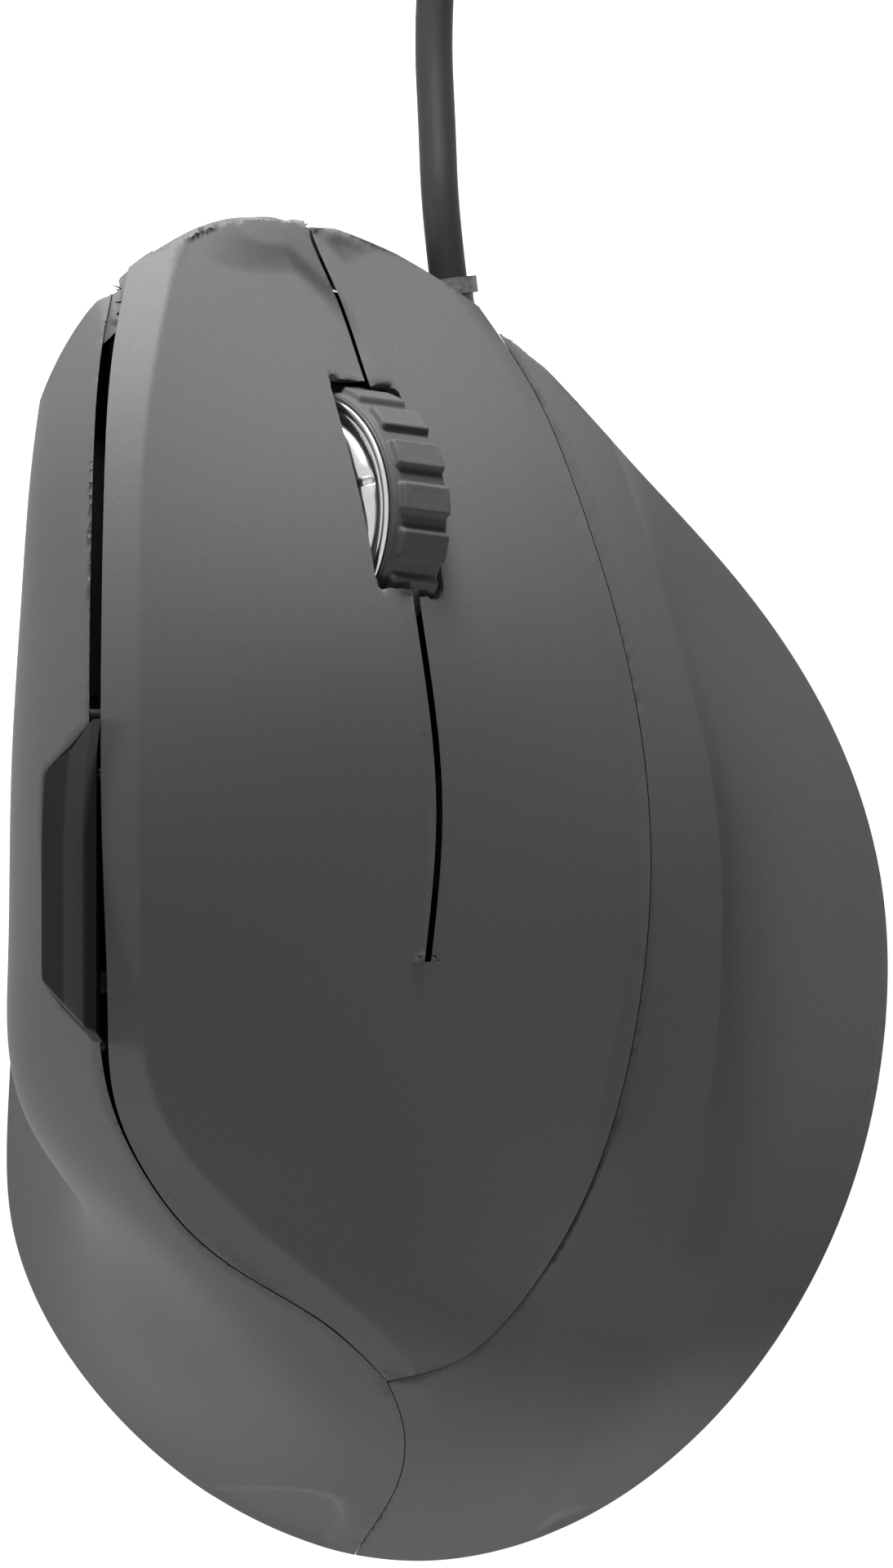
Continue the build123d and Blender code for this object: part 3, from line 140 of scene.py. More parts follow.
cord_jacket.node_tree.nodes["Principled BSDF"].inputs["Specular IOR Level"].default_value = 0.12
contact_gold = finish_nodes("contact_gold", (0.82, 0.6, 0.24), 0.22, metallic=1.0, blotch=0.05, grain_size=0.0003)
grommet_grey = finish_nodes("grommet_grey", (0.06, 0.06, 0.062), 0.55, grain=0.00004, grain_size=0.0005, blotch=0.45)
lens_clear = finish_nodes("lens_clear", (0.9, 0.93, 0.95), 0.06, blotch=0.01, grain_size=0.002)
lens_clear.node_tree.nodes["Principled BSDF"].inputs["Transmission Weight"].default_value = 0.9
print(len(bpy.data.materials), "materials")

# %% Give every CAD node its finish
NODE_FINISH = {
    "base_plate": frame_black, "base_screws": screw_steel, "glide_foot_front": glide_pad,
    "glide_foot_rear": glide_pad, "glide_foot_left": glide_pad, "glide_foot_right": glide_pad,
    "cord_grommet": grommet_grey, "cradle_mount": frame_black, "wheel_cradle": frame_black,
    "wheel_encoder": switch_black, "left_key_switch": switch_black, "right_key_switch": switch_black,
    "wheel_click_switch": switch_black, "left_switch_plunger": stem_white, "right_switch_plunger": stem_white,
    "wheel_click_stem": stem_white, "key_board": board_green, "board_bracket": frame_black,
    "key_board_screws": screw_steel, "rocker_bracket": frame_black, "rocker_pin": screw_steel,
    "thumb_board": board_green, "thumb_switch_front": switch_black, "thumb_switch_rear": switch_black,
    "thumb_stem_front": stem_white, "thumb_stem_rear": stem_white, "thumb_screws": screw_steel,
    "main_board": board_green, "board_screws": screw_steel, "sensor_chip": chip_black,
    "controller_chip": chip_black, "cord_socket": stem_white, "sensor_lens": lens_clear,
    "inner_lead": cord_jacket, "usb_plug_grip": cord_jacket, "usb_plug_shell": bright_metal,
    "usb_plug_tongue": switch_black, "usb_plug_contacts": contact_gold,
    "thumb_side_shell": shell_grey, "outer_side_shell": shell_grey, "palm_cover": face_grey,
    "left_key": face_grey, "right_key": face_grey, "thumb_rocker": gloss_black,
    "wheel_tyre": tyre_rubber, "wheel_hub": bright_metal, "cord_lead": cord_jacket,
    "cord_coil": cord_jacket, "cord_tail": cord_jacket,
}


def dress(piece, material):
    """Puts one finish in every material slot of a piece."""
    if not piece.material_slots:
        piece.data.materials.append(material)
    for slot in piece.material_slots:
        slot.material = material


for name, material in NODE_FINISH.items():
    dress(nodes[name], material)
print(sorted(set(nodes) - set(NODE_FINISH)), "left plain")

# %% [markdown]
# ## The cord
# One smooth curve runs from the grommet along the desk, winds up in piled loops behind the
# picture's edge and ends in the plug. Its points are the route's own, in metres.

# %% The cord's points
LENGTH = 114.0
WAY = Vector((-0.12, 0.993, 0)).normalized()
EXIT = Vector((0.002 * 75.4, 0.457 * LENGTH, 7.6))
LEAD = ((-0.0070, 0.5702, 0.0430), (-0.0105, 0.6404, 0.0211), (-0.0053, 0.7193, 0.0149),
        (0.0228, 0.7982, 0.0145), (0.0526, 0.8772, 0.0145), (0.0526, 0.9474, 0.0145))
TAIL = ((0.0526, 1.0912, 0.1145), (0.0632, 1.1772, 0.1079), (0.0544, 1.2649, 0.0965),
        (-0.0026, 1.3333, 0.0833), (-0.0921, 1.3627, 0.0702), (-0.1816, 1.3333, 0.0570),
        (-0.2368, 1.2596, 0.0456), (-0.2404, 1.1754, 0.0351), (-0.2404, 1.0921, 0.0351))
CORD = 3.2
PITCH = 3.8
COIL_RADIUS = 25.2
HALF_TURN_POINTS = 7

points = [EXIT, EXIT + WAY * 6.0] + [Vector(place) * LENGTH for place in LEAD]
start = points[-1] + Vector((0, CORD, 0))
spot, side, level = start.x, 1, start.z
steps = [1, 2, 3, 4, 5, 6, 5, 4, 3, 2, 1, 0] * 2
for count, step in enumerate(steps):
    radius = COIL_RADIUS - step * PITCH / 2
    middle = spot + radius * side
    rise = PITCH if step in (0, 6) and count < len(steps) - 1 else 0
    reach = radius / math.cos(math.pi / HALF_TURN_POINTS / 2)
    for index in range(HALF_TURN_POINTS):
        share = (index + 0.5) / HALF_TURN_POINTS
        angle = math.pi * share
        points.append(Vector((
            middle - side * reach * math.cos(angle), start.y + side * reach * math.sin(angle), level + rise * share,
        )))
    spot += radius * 2 * side
    level += rise
    side = -side
points.append(Vector((spot, start.y + CORD, level)))
points += [Vector(place) * LENGTH for place in TAIL]
print(len(points), "points")

# %% The cord as one curve
curve = bpy.data.curves.new("cord", "CURVE")
curve.dimensions = "3D"
curve.bevel_depth = CORD / 2 * MM
curve.bevel_resolution = 6
curve.resolution_u = 6
line = curve.splines.new("NURBS")
line.points.add(len(points) - 1)
for point, place in zip(line.points, points):
    point.co = (*(place * MM), 1)
line.order_u = 3
line.use_endpoint_u = True
cord = bpy.data.objects.new("cord", curve)
scene.collection.objects.link(cord)
curve.materials.append(cord_jacket)
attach(cord, "housing")
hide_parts("cord_lead", "cord_coil", "cord_tail")
print("cord in place")

# %% [markdown]
# ## Guide surfaces
# The housing's outside is one smooth skin over fourteen lines. The same lines are spread here on a
# fine grid, and the walls and seams are upright ribbons. The mouldings are then drawn onto them.

# %% The lines of the form, as shares of the width and the height
WIDTH, HEIGHT = 75.4, 63.0
STATIONS = (-0.535, -0.500, -0.430, -0.360, -0.272, -0.175, -0.053, 0.088, 0.211, 0.325, 0.430, 0.561)
FORM_LINES = {
    "skirt_left": (
        (-0.345, -0.317), (-0.332, -0.143), (-0.365, -0.016), (-0.458, -0.024),
        (-0.531, -0.024), (-0.524, 0.008), (-0.517, 0.016), (-0.511, 0.024),
        (-0.504, 0.024), (-0.491, 0.024), (-0.471, 0.024), (-0.438, 0.016),
    ),
    "ledge": (
        (-0.265, -0.222), (-0.255, -0.032), (-0.290, 0.105), (-0.382, 0.143),
        (-0.442, 0.159), (-0.459, 0.143), (-0.438, 0.143), (-0.418, 0.151),
        (-0.405, 0.159), (-0.391, 0.159), (-0.371, 0.151), (-0.338, 0.127),
    ),
    "groove": (
        (-0.205, -0.165), (-0.198, 0.028), (-0.236, 0.195), (-0.318, 0.310),
        (-0.389, 0.381), (-0.411, 0.381), (-0.378, 0.381), (-0.362, 0.389),
        (-0.358, 0.389), (-0.353, 0.381), (-0.338, 0.325), (-0.312, 0.254),
    ),
    "bulge": (
        (-0.165, -0.140), (-0.160, 0.052), (-0.176, 0.286), (-0.239, 0.468),
        (-0.332, 0.627), (-0.463, 0.667), (-0.489, 0.690), (-0.485, 0.706),
        (-0.475, 0.690), (-0.462, 0.635), (-0.438, 0.524), (-0.405, 0.381),
    ),
    "flank": (
        (-0.132, -0.128), (-0.128, 0.063), (-0.114, 0.349), (-0.172, 0.556),
        (-0.289, 0.730), (-0.415, 0.825), (-0.443, 0.873), (-0.446, 0.881),
        (-0.438, 0.844), (-0.428, 0.770), (-0.406, 0.651), (-0.369, 0.468),
    ),
    "seam": (
        (-0.108, -0.122), (-0.104, 0.066), (-0.052, 0.387), (-0.080, 0.587),
        (-0.232, 0.778), (-0.358, 0.910), (-0.383, 0.981), (-0.390, 0.994),
        (-0.389, 0.949), (-0.385, 0.860), (-0.370, 0.730), (-0.332, 0.524),
    ),
    "bevel": (
        (-0.073, -0.122), (-0.066, 0.064), (-0.013, 0.384), (-0.027, 0.587),
        (-0.166, 0.759), (-0.306, 0.902), (-0.338, 0.978), (-0.340, 0.990),
        (-0.340, 0.946), (-0.337, 0.857), (-0.314, 0.727), (-0.272, 0.524),
    ),
    "face": (
        (0.007, -0.128), (0.007, 0.056), (0.040, 0.363), (0.033, 0.548),
        (-0.013, 0.635), (-0.066, 0.714), (-0.080, 0.752), (-0.086, 0.765),
        (-0.106, 0.746), (-0.126, 0.656), (-0.146, 0.543), (-0.159, 0.421),
    ),
    "crease": (
        (0.060, -0.151), (0.056, 0.025), (0.086, 0.327), (0.093, 0.484),
        (0.119, 0.476), (0.178, 0.365), (0.221, 0.346), (0.225, 0.338),
        (0.190, 0.333), (0.127, 0.325), (0.034, 0.317), (-0.066, 0.286),
    ),
    "edge": (
        (0.099, -0.179), (0.093, -0.003), (0.139, 0.262), (0.186, 0.349),
        (0.239, 0.278), (0.288, 0.225), (0.310, 0.206), (0.298, 0.203),
        (0.249, 0.211), (0.192, 0.214), (0.113, 0.217), (0.027, 0.198),
    ),
    "wall": (
        (0.126, -0.203), (0.119, -0.029), (0.170, 0.210), (0.233, 0.276),
        (0.279, 0.203), (0.308, 0.168), (0.326, 0.152), (0.314, 0.149),
        (0.265, 0.156), (0.210, 0.163), (0.133, 0.171), (0.050, 0.163),
    ),
    "valley": (
        (0.153, -0.235), (0.146, -0.060), (0.199, 0.156), (0.281, 0.184),
        (0.325, 0.143), (0.345, 0.121), (0.362, 0.108), (0.350, 0.106),
        (0.301, 0.111), (0.245, 0.119), (0.172, 0.130), (0.093, 0.133),
    ),
    "flare": (
        (0.186, -0.278), (0.172, -0.095), (0.225, 0.100), (0.329, 0.095),
        (0.385, 0.083), (0.411, 0.079), (0.424, 0.075), (0.411, 0.075),
        (0.351, 0.079), (0.298, 0.087), (0.225, 0.098), (0.146, 0.103),
    ),
    "skirt_right": (
        (0.239, -0.365), (0.225, -0.159), (0.279, -0.016), (0.398, -0.016),
        (0.504, 0.013), (0.570, 0.019), (0.584, 0.029), (0.557, 0.032),
        (0.491, 0.035), (0.398, 0.044), (0.318, 0.054), (0.239, 0.063),
    ),
}
STRETCHES = ("skirt_left", "seam", "bevel", "crease", "edge", "skirt_right")
STRETCH_CELLS = (90, 12, 60, 14, 50)


# %% Smooth curves through points
def natural_spline(knots, values, at):
    """Natural cubic spline through values at knots, read at other places along it."""
    knots, values, at = np.asarray(knots, float), np.asarray(values, float), np.asarray(at, float)
    count = len(knots)
    gaps = np.diff(knots)
    matrix = np.eye(count)
    right = np.zeros((count,) + values.shape[1:])
    for row in range(1, count - 1):
        matrix[row, row - 1:row + 2] = gaps[row - 1], 2 * (gaps[row - 1] + gaps[row]), gaps[row]
        slope_after = (values[row + 1] - values[row]) / gaps[row]
        slope_before = (values[row] - values[row - 1]) / gaps[row - 1]
        right[row] = 6 * (slope_after - slope_before)
    bends = np.linalg.solve(matrix, right.reshape(count, -1)).reshape(right.shape)
    cell = np.clip(np.searchsorted(knots, at) - 1, 0, count - 2)
    gap = gaps[cell]
    after = (knots[cell + 1] - at) / gap
    before = (at - knots[cell]) / gap
    shape = (-1,) + (1,) * (values.ndim - 1)
    after, before, gap = after.reshape(shape), before.reshape(shape), gap.reshape(shape)
    return (
        after * values[cell] + before * values[cell + 1]
        + ((after**3 - after) * bends[cell] + (before**3 - before) * bends[cell + 1]) * gap**2 / 6
    )


def curve_through(places, count):
    """Points along the smooth curve through places."""
    places = np.asarray(places, float)
    marks = np.concatenate([[0], np.cumsum(np.linalg.norm(np.diff(places, axis=0), axis=1))])
    return natural_spline(marks, places, np.linspace(0, marks[-1], count))


def grid_mesh(name, grid):
    """A mesh over a grid of points, row by row, in millimetres."""
    rows, columns = grid.shape[:2]
    mesh = bpy.data.meshes.new(name)
    index = np.arange(rows * columns).reshape(rows, columns)
    quads = np.stack([index[:-1, :-1], index[:-1, 1:], index[1:, 1:], index[1:, :-1]], axis=-1).reshape(-1, 4)
    mesh.from_pydata((grid.reshape(-1, 3) * MM).tolist(), [], quads.tolist())
    return mesh


# %% The skin as a fine grid
line_names = list(FORM_LINES)
stops = [line_names.index(name) for name in STRETCHES]
stations = np.array(STATIONS) * LENGTH
sections = []
for index in range(len(STATIONS)):
    places = np.array([FORM_LINES[name][index] for name in line_names]) * (WIDTH, HEIGHT)
    row = []
    for first, last, cells in zip(stops, stops[1:], STRETCH_CELLS):
        part = curve_through(places[first:last + 1], cells + 1)
        row.append(part if not row else part[1:])
    sections.append(np.concatenate(row))
along = np.linspace(stations[0], stations[-1], 420)
skin_xz = natural_spline(stations, np.array(sections), along)
skin_grid = np.empty(skin_xz.shape[:2] + (3,))
skin_grid[..., 0] = skin_xz[..., 0]
skin_grid[..., 1] = along[:, None]
skin_grid[..., 2] = skin_xz[..., 1]
skin_mesh = grid_mesh("skin_guide", skin_grid)
print("skin guide", skin_grid.shape)

# %% The upright walls of the outline and the sides of the seams
OUTLINE = (
    (-0.212, 0.501), (-0.082, 0.481), (0.025, 0.443), (0.194, 0.334), (0.338, 0.225),
    (0.440, 0.117), (0.491, 0.008), (0.495, -0.105), (0.463, -0.211), (0.351, -0.355),
    (0.166, -0.464), (-0.038, -0.500), (-0.231, -0.464), (-0.418, -0.355), (-0.492, -0.246),
    (-0.495, -0.149), (-0.512, -0.035), (-0.512, 0.105), (-0.491, 0.263), (-0.424, 0.406),
    (-0.329, 0.474),
)
FOOTPRINT = (
    (-0.199, 0.470), (-0.082, 0.458), (0.016, 0.428), (0.188, 0.330), (0.337, 0.225),
    (0.440, 0.117), (0.491, 0.008), (0.495, -0.105), (0.463, -0.211), (0.351, -0.355),
    (0.166, -0.464), (-0.038, -0.500), (-0.231, -0.464), (-0.418, -0.355), (-0.492, -0.246),
    (-0.493, -0.149), (-0.475, -0.018), (-0.454, 0.114), (-0.424, 0.246), (-0.374, 0.364),
    (-0.298, 0.441),
)
RIM = 24.0


def closed_curve(shares, count):
    """A smooth closed line: the open curve is run over its start and end, then cut back."""
    places = np.array(shares) * (WIDTH, LENGTH)
    wrap = 5
    longer = np.concatenate([places[-wrap:], places, places[:wrap + 1]])
    marks = np.concatenate([[0], np.cumsum(np.linalg.norm(np.diff(longer, axis=0), axis=1))])
    return natural_spline(marks, longer, np.linspace(marks[wrap], marks[wrap + len(places)], count))


def at_level(plan, level):
    return np.concatenate([plan, np.full((len(plan), 1), float(level))], axis=1)


low, high = closed_curve(FOOTPRINT, 900), closed_curve(OUTLINE, 900)
levels = [0, RIM * 0.25, RIM * 0.5, RIM * 0.75, RIM, RIM + 20, RIM + 45]
wall_rows = [at_level(low + (high - low) * min(level / RIM, 1), level) for level in levels]
wall_mesh = grid_mesh("wall_guide", np.array(wall_rows))
print("wall guide", len(wall_mesh.vertices))

# %% The seams seen from above
RIDGE = (
    (-0.356, 0.512), (-0.358, 0.478), (-0.365, 0.449), (-0.374, 0.418), (-0.387, 0.307),
    (-0.390, 0.175), (-0.389, 0.044), (-0.382, -0.088), (-0.372, -0.150), (-0.331, -0.211),
    (-0.281, -0.253), (-0.207, -0.289), (-0.134, -0.319),
)
GROOVE_OPEN = (1.0, 1.0, 1.0, 1.0, 1.0, 1.0, 1.0, 0.9, 0.4, 0.2, 0.2, 0.2, 0.2)
SEAM_TIP = (-0.066, -0.361)
CREASE = (
    (0.012, -0.346), (0.085, -0.301), (0.164, -0.211), (0.214, -0.088), (0.227, 0.044),
    (0.200, 0.175), (0.139, 0.307), (0.103, 0.364), (0.039, 0.431), (-0.013, 0.479),
)
REAR_SEAM = ((-0.048, -0.397), (-0.052, -0.434), (-0.098, -0.489), (-0.126, -0.526))
GROOVE_HALF, SEAM_GAP, CREASE_PULL, REAR_HALF, TIP_GAP = 0.5, 0.3, 0.11, 0.04, 0.08


def on_plan(shares, shift=0):
    return [(x * WIDTH + shift, y * LENGTH) for x, y in shares]


def ribbon(line, low=-5, high=75):
    """An upright strip over a line seen from above."""
    return grid_mesh("ribbon", np.array([at_level(np.array(line), level) for level in (low, high)]))


ridge = on_plan(RIDGE)
tip_place, gap_tip = on_plan([SEAM_TIP])[0], (SEAM_TIP[0] * WIDTH, SEAM_TIP[1] * LENGTH - TIP_GAP)
ridge_in = [(x + share * GROOVE_HALF, y) for (x, y), share in zip(ridge, GROOVE_OPEN)] + [tip_place]
ridge_out = [(x - share * GROOVE_HALF, y) for (x, y), share in zip(ridge, GROOVE_OPEN)] + [gap_tip]
crease_in = [tip_place] + on_plan(CREASE, CREASE_PULL)
crease_out = [gap_tip] + on_plan(CREASE, SEAM_GAP - CREASE_PULL)
seam_walls = {
    "finger": [ribbon(curve_through(line, 500)) for line in (ridge_in, crease_in)],
    "thumb": [ribbon(curve_through(ridge_out, 500)), ribbon(curve_through([
        (x - REAR_HALF, y) for x, y in [gap_tip] + on_plan(REAR_SEAM)], 200))],
    "outer": [ribbon(curve_through(crease_out, 500)), ribbon(curve_through([
        (x + REAR_HALF, y) for x, y in [gap_tip] + on_plan(REAR_SEAM)], 200))],
}
print({name: len(walls) for name, walls in seam_walls.items()})

# %% [markdown]
# ## Mouldings
# A moulding starts as the CAD solid on a fine grid. Its edges are softened by a few smoothing
# passes, its points beside the seams and the outline are stretched past them, points near the
# skin are drawn onto it, and closed bars then trim it.


# %% Grid, smooth and draw onto the guides
def merged_mesh(names, move=None):
    """One mesh of several CAD nodes."""
    form = bmesh.new()
    for name in names:
        form.from_mesh(nodes[name].data)
    mesh = bpy.data.meshes.new("merged")
    bmesh.ops.remove_doubles(form, verts=form.verts, dist=1e-7)
    if move:
        for vertex in form.verts:
            move(vertex)
    form.to_mesh(mesh)
    form.free()
    return mesh


def fine_grid(mesh, voxel):
    """The same solid with even small faces."""
    piece = bpy.data.objects.new("grid", mesh)
    scene.collection.objects.link(piece)
    change = piece.modifiers.new("grid", "REMESH")
    change.mode = "VOXEL"
    change.voxel_size = voxel
    shaped = bpy.data.meshes.new_from_object(piece.evaluated_get(bpy.context.evaluated_depsgraph_get()))
    bpy.data.objects.remove(piece)
    return shaped


def guide_tree(*meshes):
    form = bmesh.new()
    for mesh in meshes:
        form.from_mesh(mesh)
    tree = BVHTree.FromBMesh(form)
    form.free()
    return tree


skin_tree, wall_tree = guide_tree(skin_mesh), guide_tree(wall_mesh)


def skin_level(x, y):
    """How high the skin stands over a place, in millimetres."""
    hit = skin_tree.ray_cast(Vector((x * MM, y * MM, 1)), Vector((0, 0, -1)))
    return hit[0].z / MM


# The finger face at the wheel: across the face, along the roll and out of it
FACE_OUT = Vector((0.631, 0.423, 0.651)).normalized()
ACROSS = Vector((-0.217, 0.901, -0.375)).cross(FACE_OUT).normalized()
ROLL = FACE_OUT.cross(ACROSS)
WHEEL_PLACE = Vector((-0.062 * WIDTH, 0.302 * LENGTH, skin_level(-0.062 * WIDTH, 0.302 * LENGTH)))
SLOT_LENGTH, SLOT_WIDTH, SLOT_CORNER, SLIT_WIDTH = 19.5, 8.0, 1.0, 0.5
FRONT_SLIT = ((-0.164, 0.512), (-0.155, 0.492), (-0.121, 0.439), (-0.093, 0.385))
REAR_SLIT = ((-0.034, 0.219), (-0.011, 0.104), (-0.008, 0.056), (-0.020, -0.046))


def on_face(across, along, out=0):
    return WHEEL_PLACE + ACROSS * across + ROLL * along + FACE_OUT * out


def face_ribbon(line):
    """A strip square to the finger face over a line on it, in the face's own millimetres."""
    rows = [[on_face(across, along, out) for across, along in line] for out in (-25, 25)]
    return grid_mesh("face_ribbon", np.array(rows))


slot_line = []
for x_side, y_side, first in ((1, 1, 0), (-1, 1, 90), (-1, -1, 180), (1, -1, 270)):
    for turn in range(first, first + 91, 10):
        slot_line.append((
            x_side * (SLOT_WIDTH / 2 - SLOT_CORNER) + SLOT_CORNER * math.cos(math.radians(turn)),
            y_side * (SLOT_LENGTH / 2 - SLOT_CORNER) + SLOT_CORNER * math.sin(math.radians(turn)),
        ))
slot_line.append(slot_line[0])
FRONT_HALF, REAR_SLIT_HALF = 0.16, 0.27
slit_lines = {}
for label, slit, half in (("front", FRONT_SLIT, FRONT_HALF), ("rear", REAR_SLIT, REAR_SLIT_HALF)):
    middle = [np.array(place) for place in on_plan(slit)]
    before = (middle[0] - middle[1]) / np.linalg.norm(middle[0] - middle[1])
    after = (middle[-1] - middle[-2]) / np.linalg.norm(middle[-1] - middle[-2])
    middle = [middle[0] + before * 4] + middle + ([middle[-1] + after * 3] if label == "front" else [])
    for side in (-1, 1):
        slit_lines[label, side] = curve_through([(x + side * half, y) for x, y in middle], 200)
SLIT_STOP = (slit_lines["rear", -1][-1] + slit_lines["rear", 1][-1]) / 2
finger_walls = {side: [ribbon(curve_through(line, 500)) for line in (ridge_in, crease_in)] for side in (-1, 1)}
for side in (-1, 1):
    finger_walls[side] += [ribbon(slit_lines[label, side]) for label in ("front", "rear")] + [face_ribbon(slot_line)]
print("slits", len(slit_lines))

# %% The strips that trim the mouldings along their seams
TRIM = 2.2


def closed_strip(name, corners):
    """A closed bar through sections of equal corner count."""
    grid = np.array(corners)
    rows, columns = grid.shape[:2]
    mesh = bpy.data.meshes.new(name)
    index = np.arange(rows * columns).reshape(rows, columns)
    beside = np.roll(index, -1, axis=1)
    quads = np.stack([index[:-1], beside[:-1], beside[1:], index[1:]], axis=-1).reshape(-1, 4).tolist()
    mesh.from_pydata((grid.reshape(-1, 3) * MM).tolist(), [], quads + [index[0].tolist()[::-1], index[-1].tolist()])
    form = bmesh.new()
    form.from_mesh(mesh)
    bmesh.ops.recalc_face_normals(form, faces=form.faces)
    form.to_mesh(mesh)
    form.free()
    return mesh


def seam_strip(line, side, deep):
    """A bar beside a seam seen from above, from over the skin to a depth under it."""
    line = curve_through(line, 400)
    ways = np.gradient(line, axis=0)
    ways /= np.linalg.norm(ways, axis=1)[:, None]
    line = np.concatenate([[line[0] - ways[0] * 0.6], line, [line[-1] + ways[-1] * 0.6]])
    ways = np.concatenate([ways[:1], ways, ways[-1:]])
    sections, level = [], 30.0
    for (x, y), (along_x, along_y) in zip(line, ways):
        hit = skin_tree.ray_cast(Vector((x * MM, y * MM, 1)), Vector((0, 0, -1)))
        level = hit[0].z / MM if hit[0] else level
        over = (x + along_y * side * TRIM, y - along_x * side * TRIM)
        top, bottom = level + 6, level - deep
        sections.append([(x, y, bottom), (x, y, top), (*over, top), (*over, bottom)])
    return closed_strip("seam_strip", sections)


def face_block(outline, low, high):
    """A closed block over a closed line drawn on the finger face."""
    return closed_strip("face_block", [[on_face(*place, out) for place in outline] for out in (low, high)])


outline_block = closed_strip("outline_block", [row[:-1] for row in wall_rows])
slit_round = [(
    SLIT_STOP[0] + REAR_SLIT_HALF * math.cos(turn * math.pi / 12),
    SLIT_STOP[1] + REAR_SLIT_HALF * math.sin(turn * math.pi / 12),
) for turn in range(24)]
slit_end = closed_strip("slit_end", [[(x, y, level) for x, y in slit_round] for level in (20, 80)])
strips = {
    "thumb": [seam_strip(ridge_out, -1, 9.2), seam_strip([(x - REAR_HALF, y) for x, y in [gap_tip] + on_plan(REAR_SEAM)], -1, 80)],
    "outer": [seam_strip(crease_out, -1, 9.2), seam_strip([(x + REAR_HALF, y) for x, y in [gap_tip] + on_plan(REAR_SEAM)], 1, 80)],
}
for side in (-1, 1):
    strips[side] = [seam_strip(ridge_in, 1, 14), seam_strip(crease_in, 1, 14)]
    strips[side] += [seam_strip(slit_lines[label, side], side, 4.5) for label in ("front", "rear")]
    strips[side] += [slit_end, face_block(slot_line[:-1], -14, 26)]
print("strips", {name: len(bars) for name, bars in strips.items()})


def smooth_points(mesh, passes):
    """Moves each point towards the middle of its neighbours."""
    count = len(mesh.vertices)
    spots = np.empty(count * 3)
    mesh.vertices.foreach_get("co", spots)
    spots = spots.reshape(-1, 3)
    edges = np.empty(len(mesh.edges) * 2, int)
    mesh.edges.foreach_get("vertices", edges)
    edges = edges.reshape(-1, 2)
    ends = np.bincount(edges.ravel(), minlength=count)[:, None]
    for step in range(passes):
        total = np.zeros_like(spots)
        for axis in range(3):
            total[:, axis] = np.bincount(edges[:, 0], spots[edges[:, 1], axis], count)
            total[:, axis] += np.bincount(edges[:, 1], spots[edges[:, 0], axis], count)
        spots += (total / np.maximum(ends, 1) - spots) * 0.5
    mesh.vertices.foreach_set("co", spots.ravel())
    mesh.update()


def draw_onto(mesh, tree, near, edge_dot, other=None):
    """Moves points near a guide, facing as it does and no nearer to another one, onto it."""
    count = len(mesh.vertices)
    normals = np.empty(count * 3)
    mesh.vertices.foreach_get("normal", normals)
    normals = normals.reshape(-1, 3)
    moved = 0
    for vertex, normal in zip(mesh.vertices, normals):
        spot, way, index, gap = tree.find_nearest(vertex.co, near)
        if spot is None:
            continue
        if other and other.find_nearest(vertex.co, gap)[0]:
            continue
        facing = abs(way.x * normal[0] + way.y * normal[1] + way.z * normal[2])
        share = min(1, max(0, (facing - edge_dot) / (0.97 - edge_dot))) * min(1, (near - gap) / near * 2.5)
        if share > 0:
            vertex.co = vertex.co.lerp(spot, share)
            moved += 1
    mesh.update()
    return moved


def stretch_past(mesh, wall, near, past):
    """Stretches the strip of a piece beside a seam so that its soft edge lies past the seam."""
    tree = guide_tree(wall)
    found, balance = [], 0
    for vertex in mesh.vertices:
        spot, way, index, gap = tree.find_nearest(vertex.co, near)
        if spot is None:
            continue
        inside = (vertex.co - spot).dot(way)
        if abs(inside) < gap * 0.9:
            continue
        found.append((vertex, way, inside))
        balance += 1 if inside > 0 else -1
    turn = 1 if balance > 0 else -1
    for vertex, way, inside in found:
        depth = inside * turn
        if depth > -0.3 * MM:
            vertex.co += way * turn * ((near - (near - depth) * (near + past) / near) - depth)
    mesh.update()
    return len(found)


def trim(mesh, bars):
    """Cuts closed bars out of a closed mesh and leaves what lies inside the outline."""
    piece = bpy.data.objects.new("trimmed", mesh)
    scene.collection.objects.link(piece)
    cutters = []
    for bar in [outline_block] + bars:
        cutter = bpy.data.objects.new("bar", bar)
        scene.collection.objects.link(cutter)
        change = piece.modifiers.new("cut", "BOOLEAN")
        change.operation = "INTERSECT" if bar == outline_block else "DIFFERENCE"
        change.solver = "MANIFOLD"
        change.object = cutter
        cutters.append(cutter)
    shaped = bpy.data.meshes.new_from_object(piece.evaluated_get(bpy.context.evaluated_depsgraph_get()))
    for item in cutters + [piece]:
        bpy.data.objects.remove(item)
    return shaped


def largest_part(mesh):
    """Leaves only the biggest connected part of a mesh."""
    form = bmesh.new()
    form.from_mesh(mesh)
    seen, parts = set(), []
    for face in form.faces:
        if face in seen:
            continue
        group, queue = [], [face]
        seen.add(face)
        while queue:
            item = queue.pop()
            group.append(item)
            for edge in item.edges:
                for other in edge.link_faces:
                    if other not in seen:
                        seen.add(other)
                        queue.append(other)
        parts.append(group)
    parts.sort(key=len)
    for group in parts[:-1]:
        bmesh.ops.delete(form, geom=group, context="FACES")
    form.to_mesh(mesh)
    form.free()
    return len(parts)


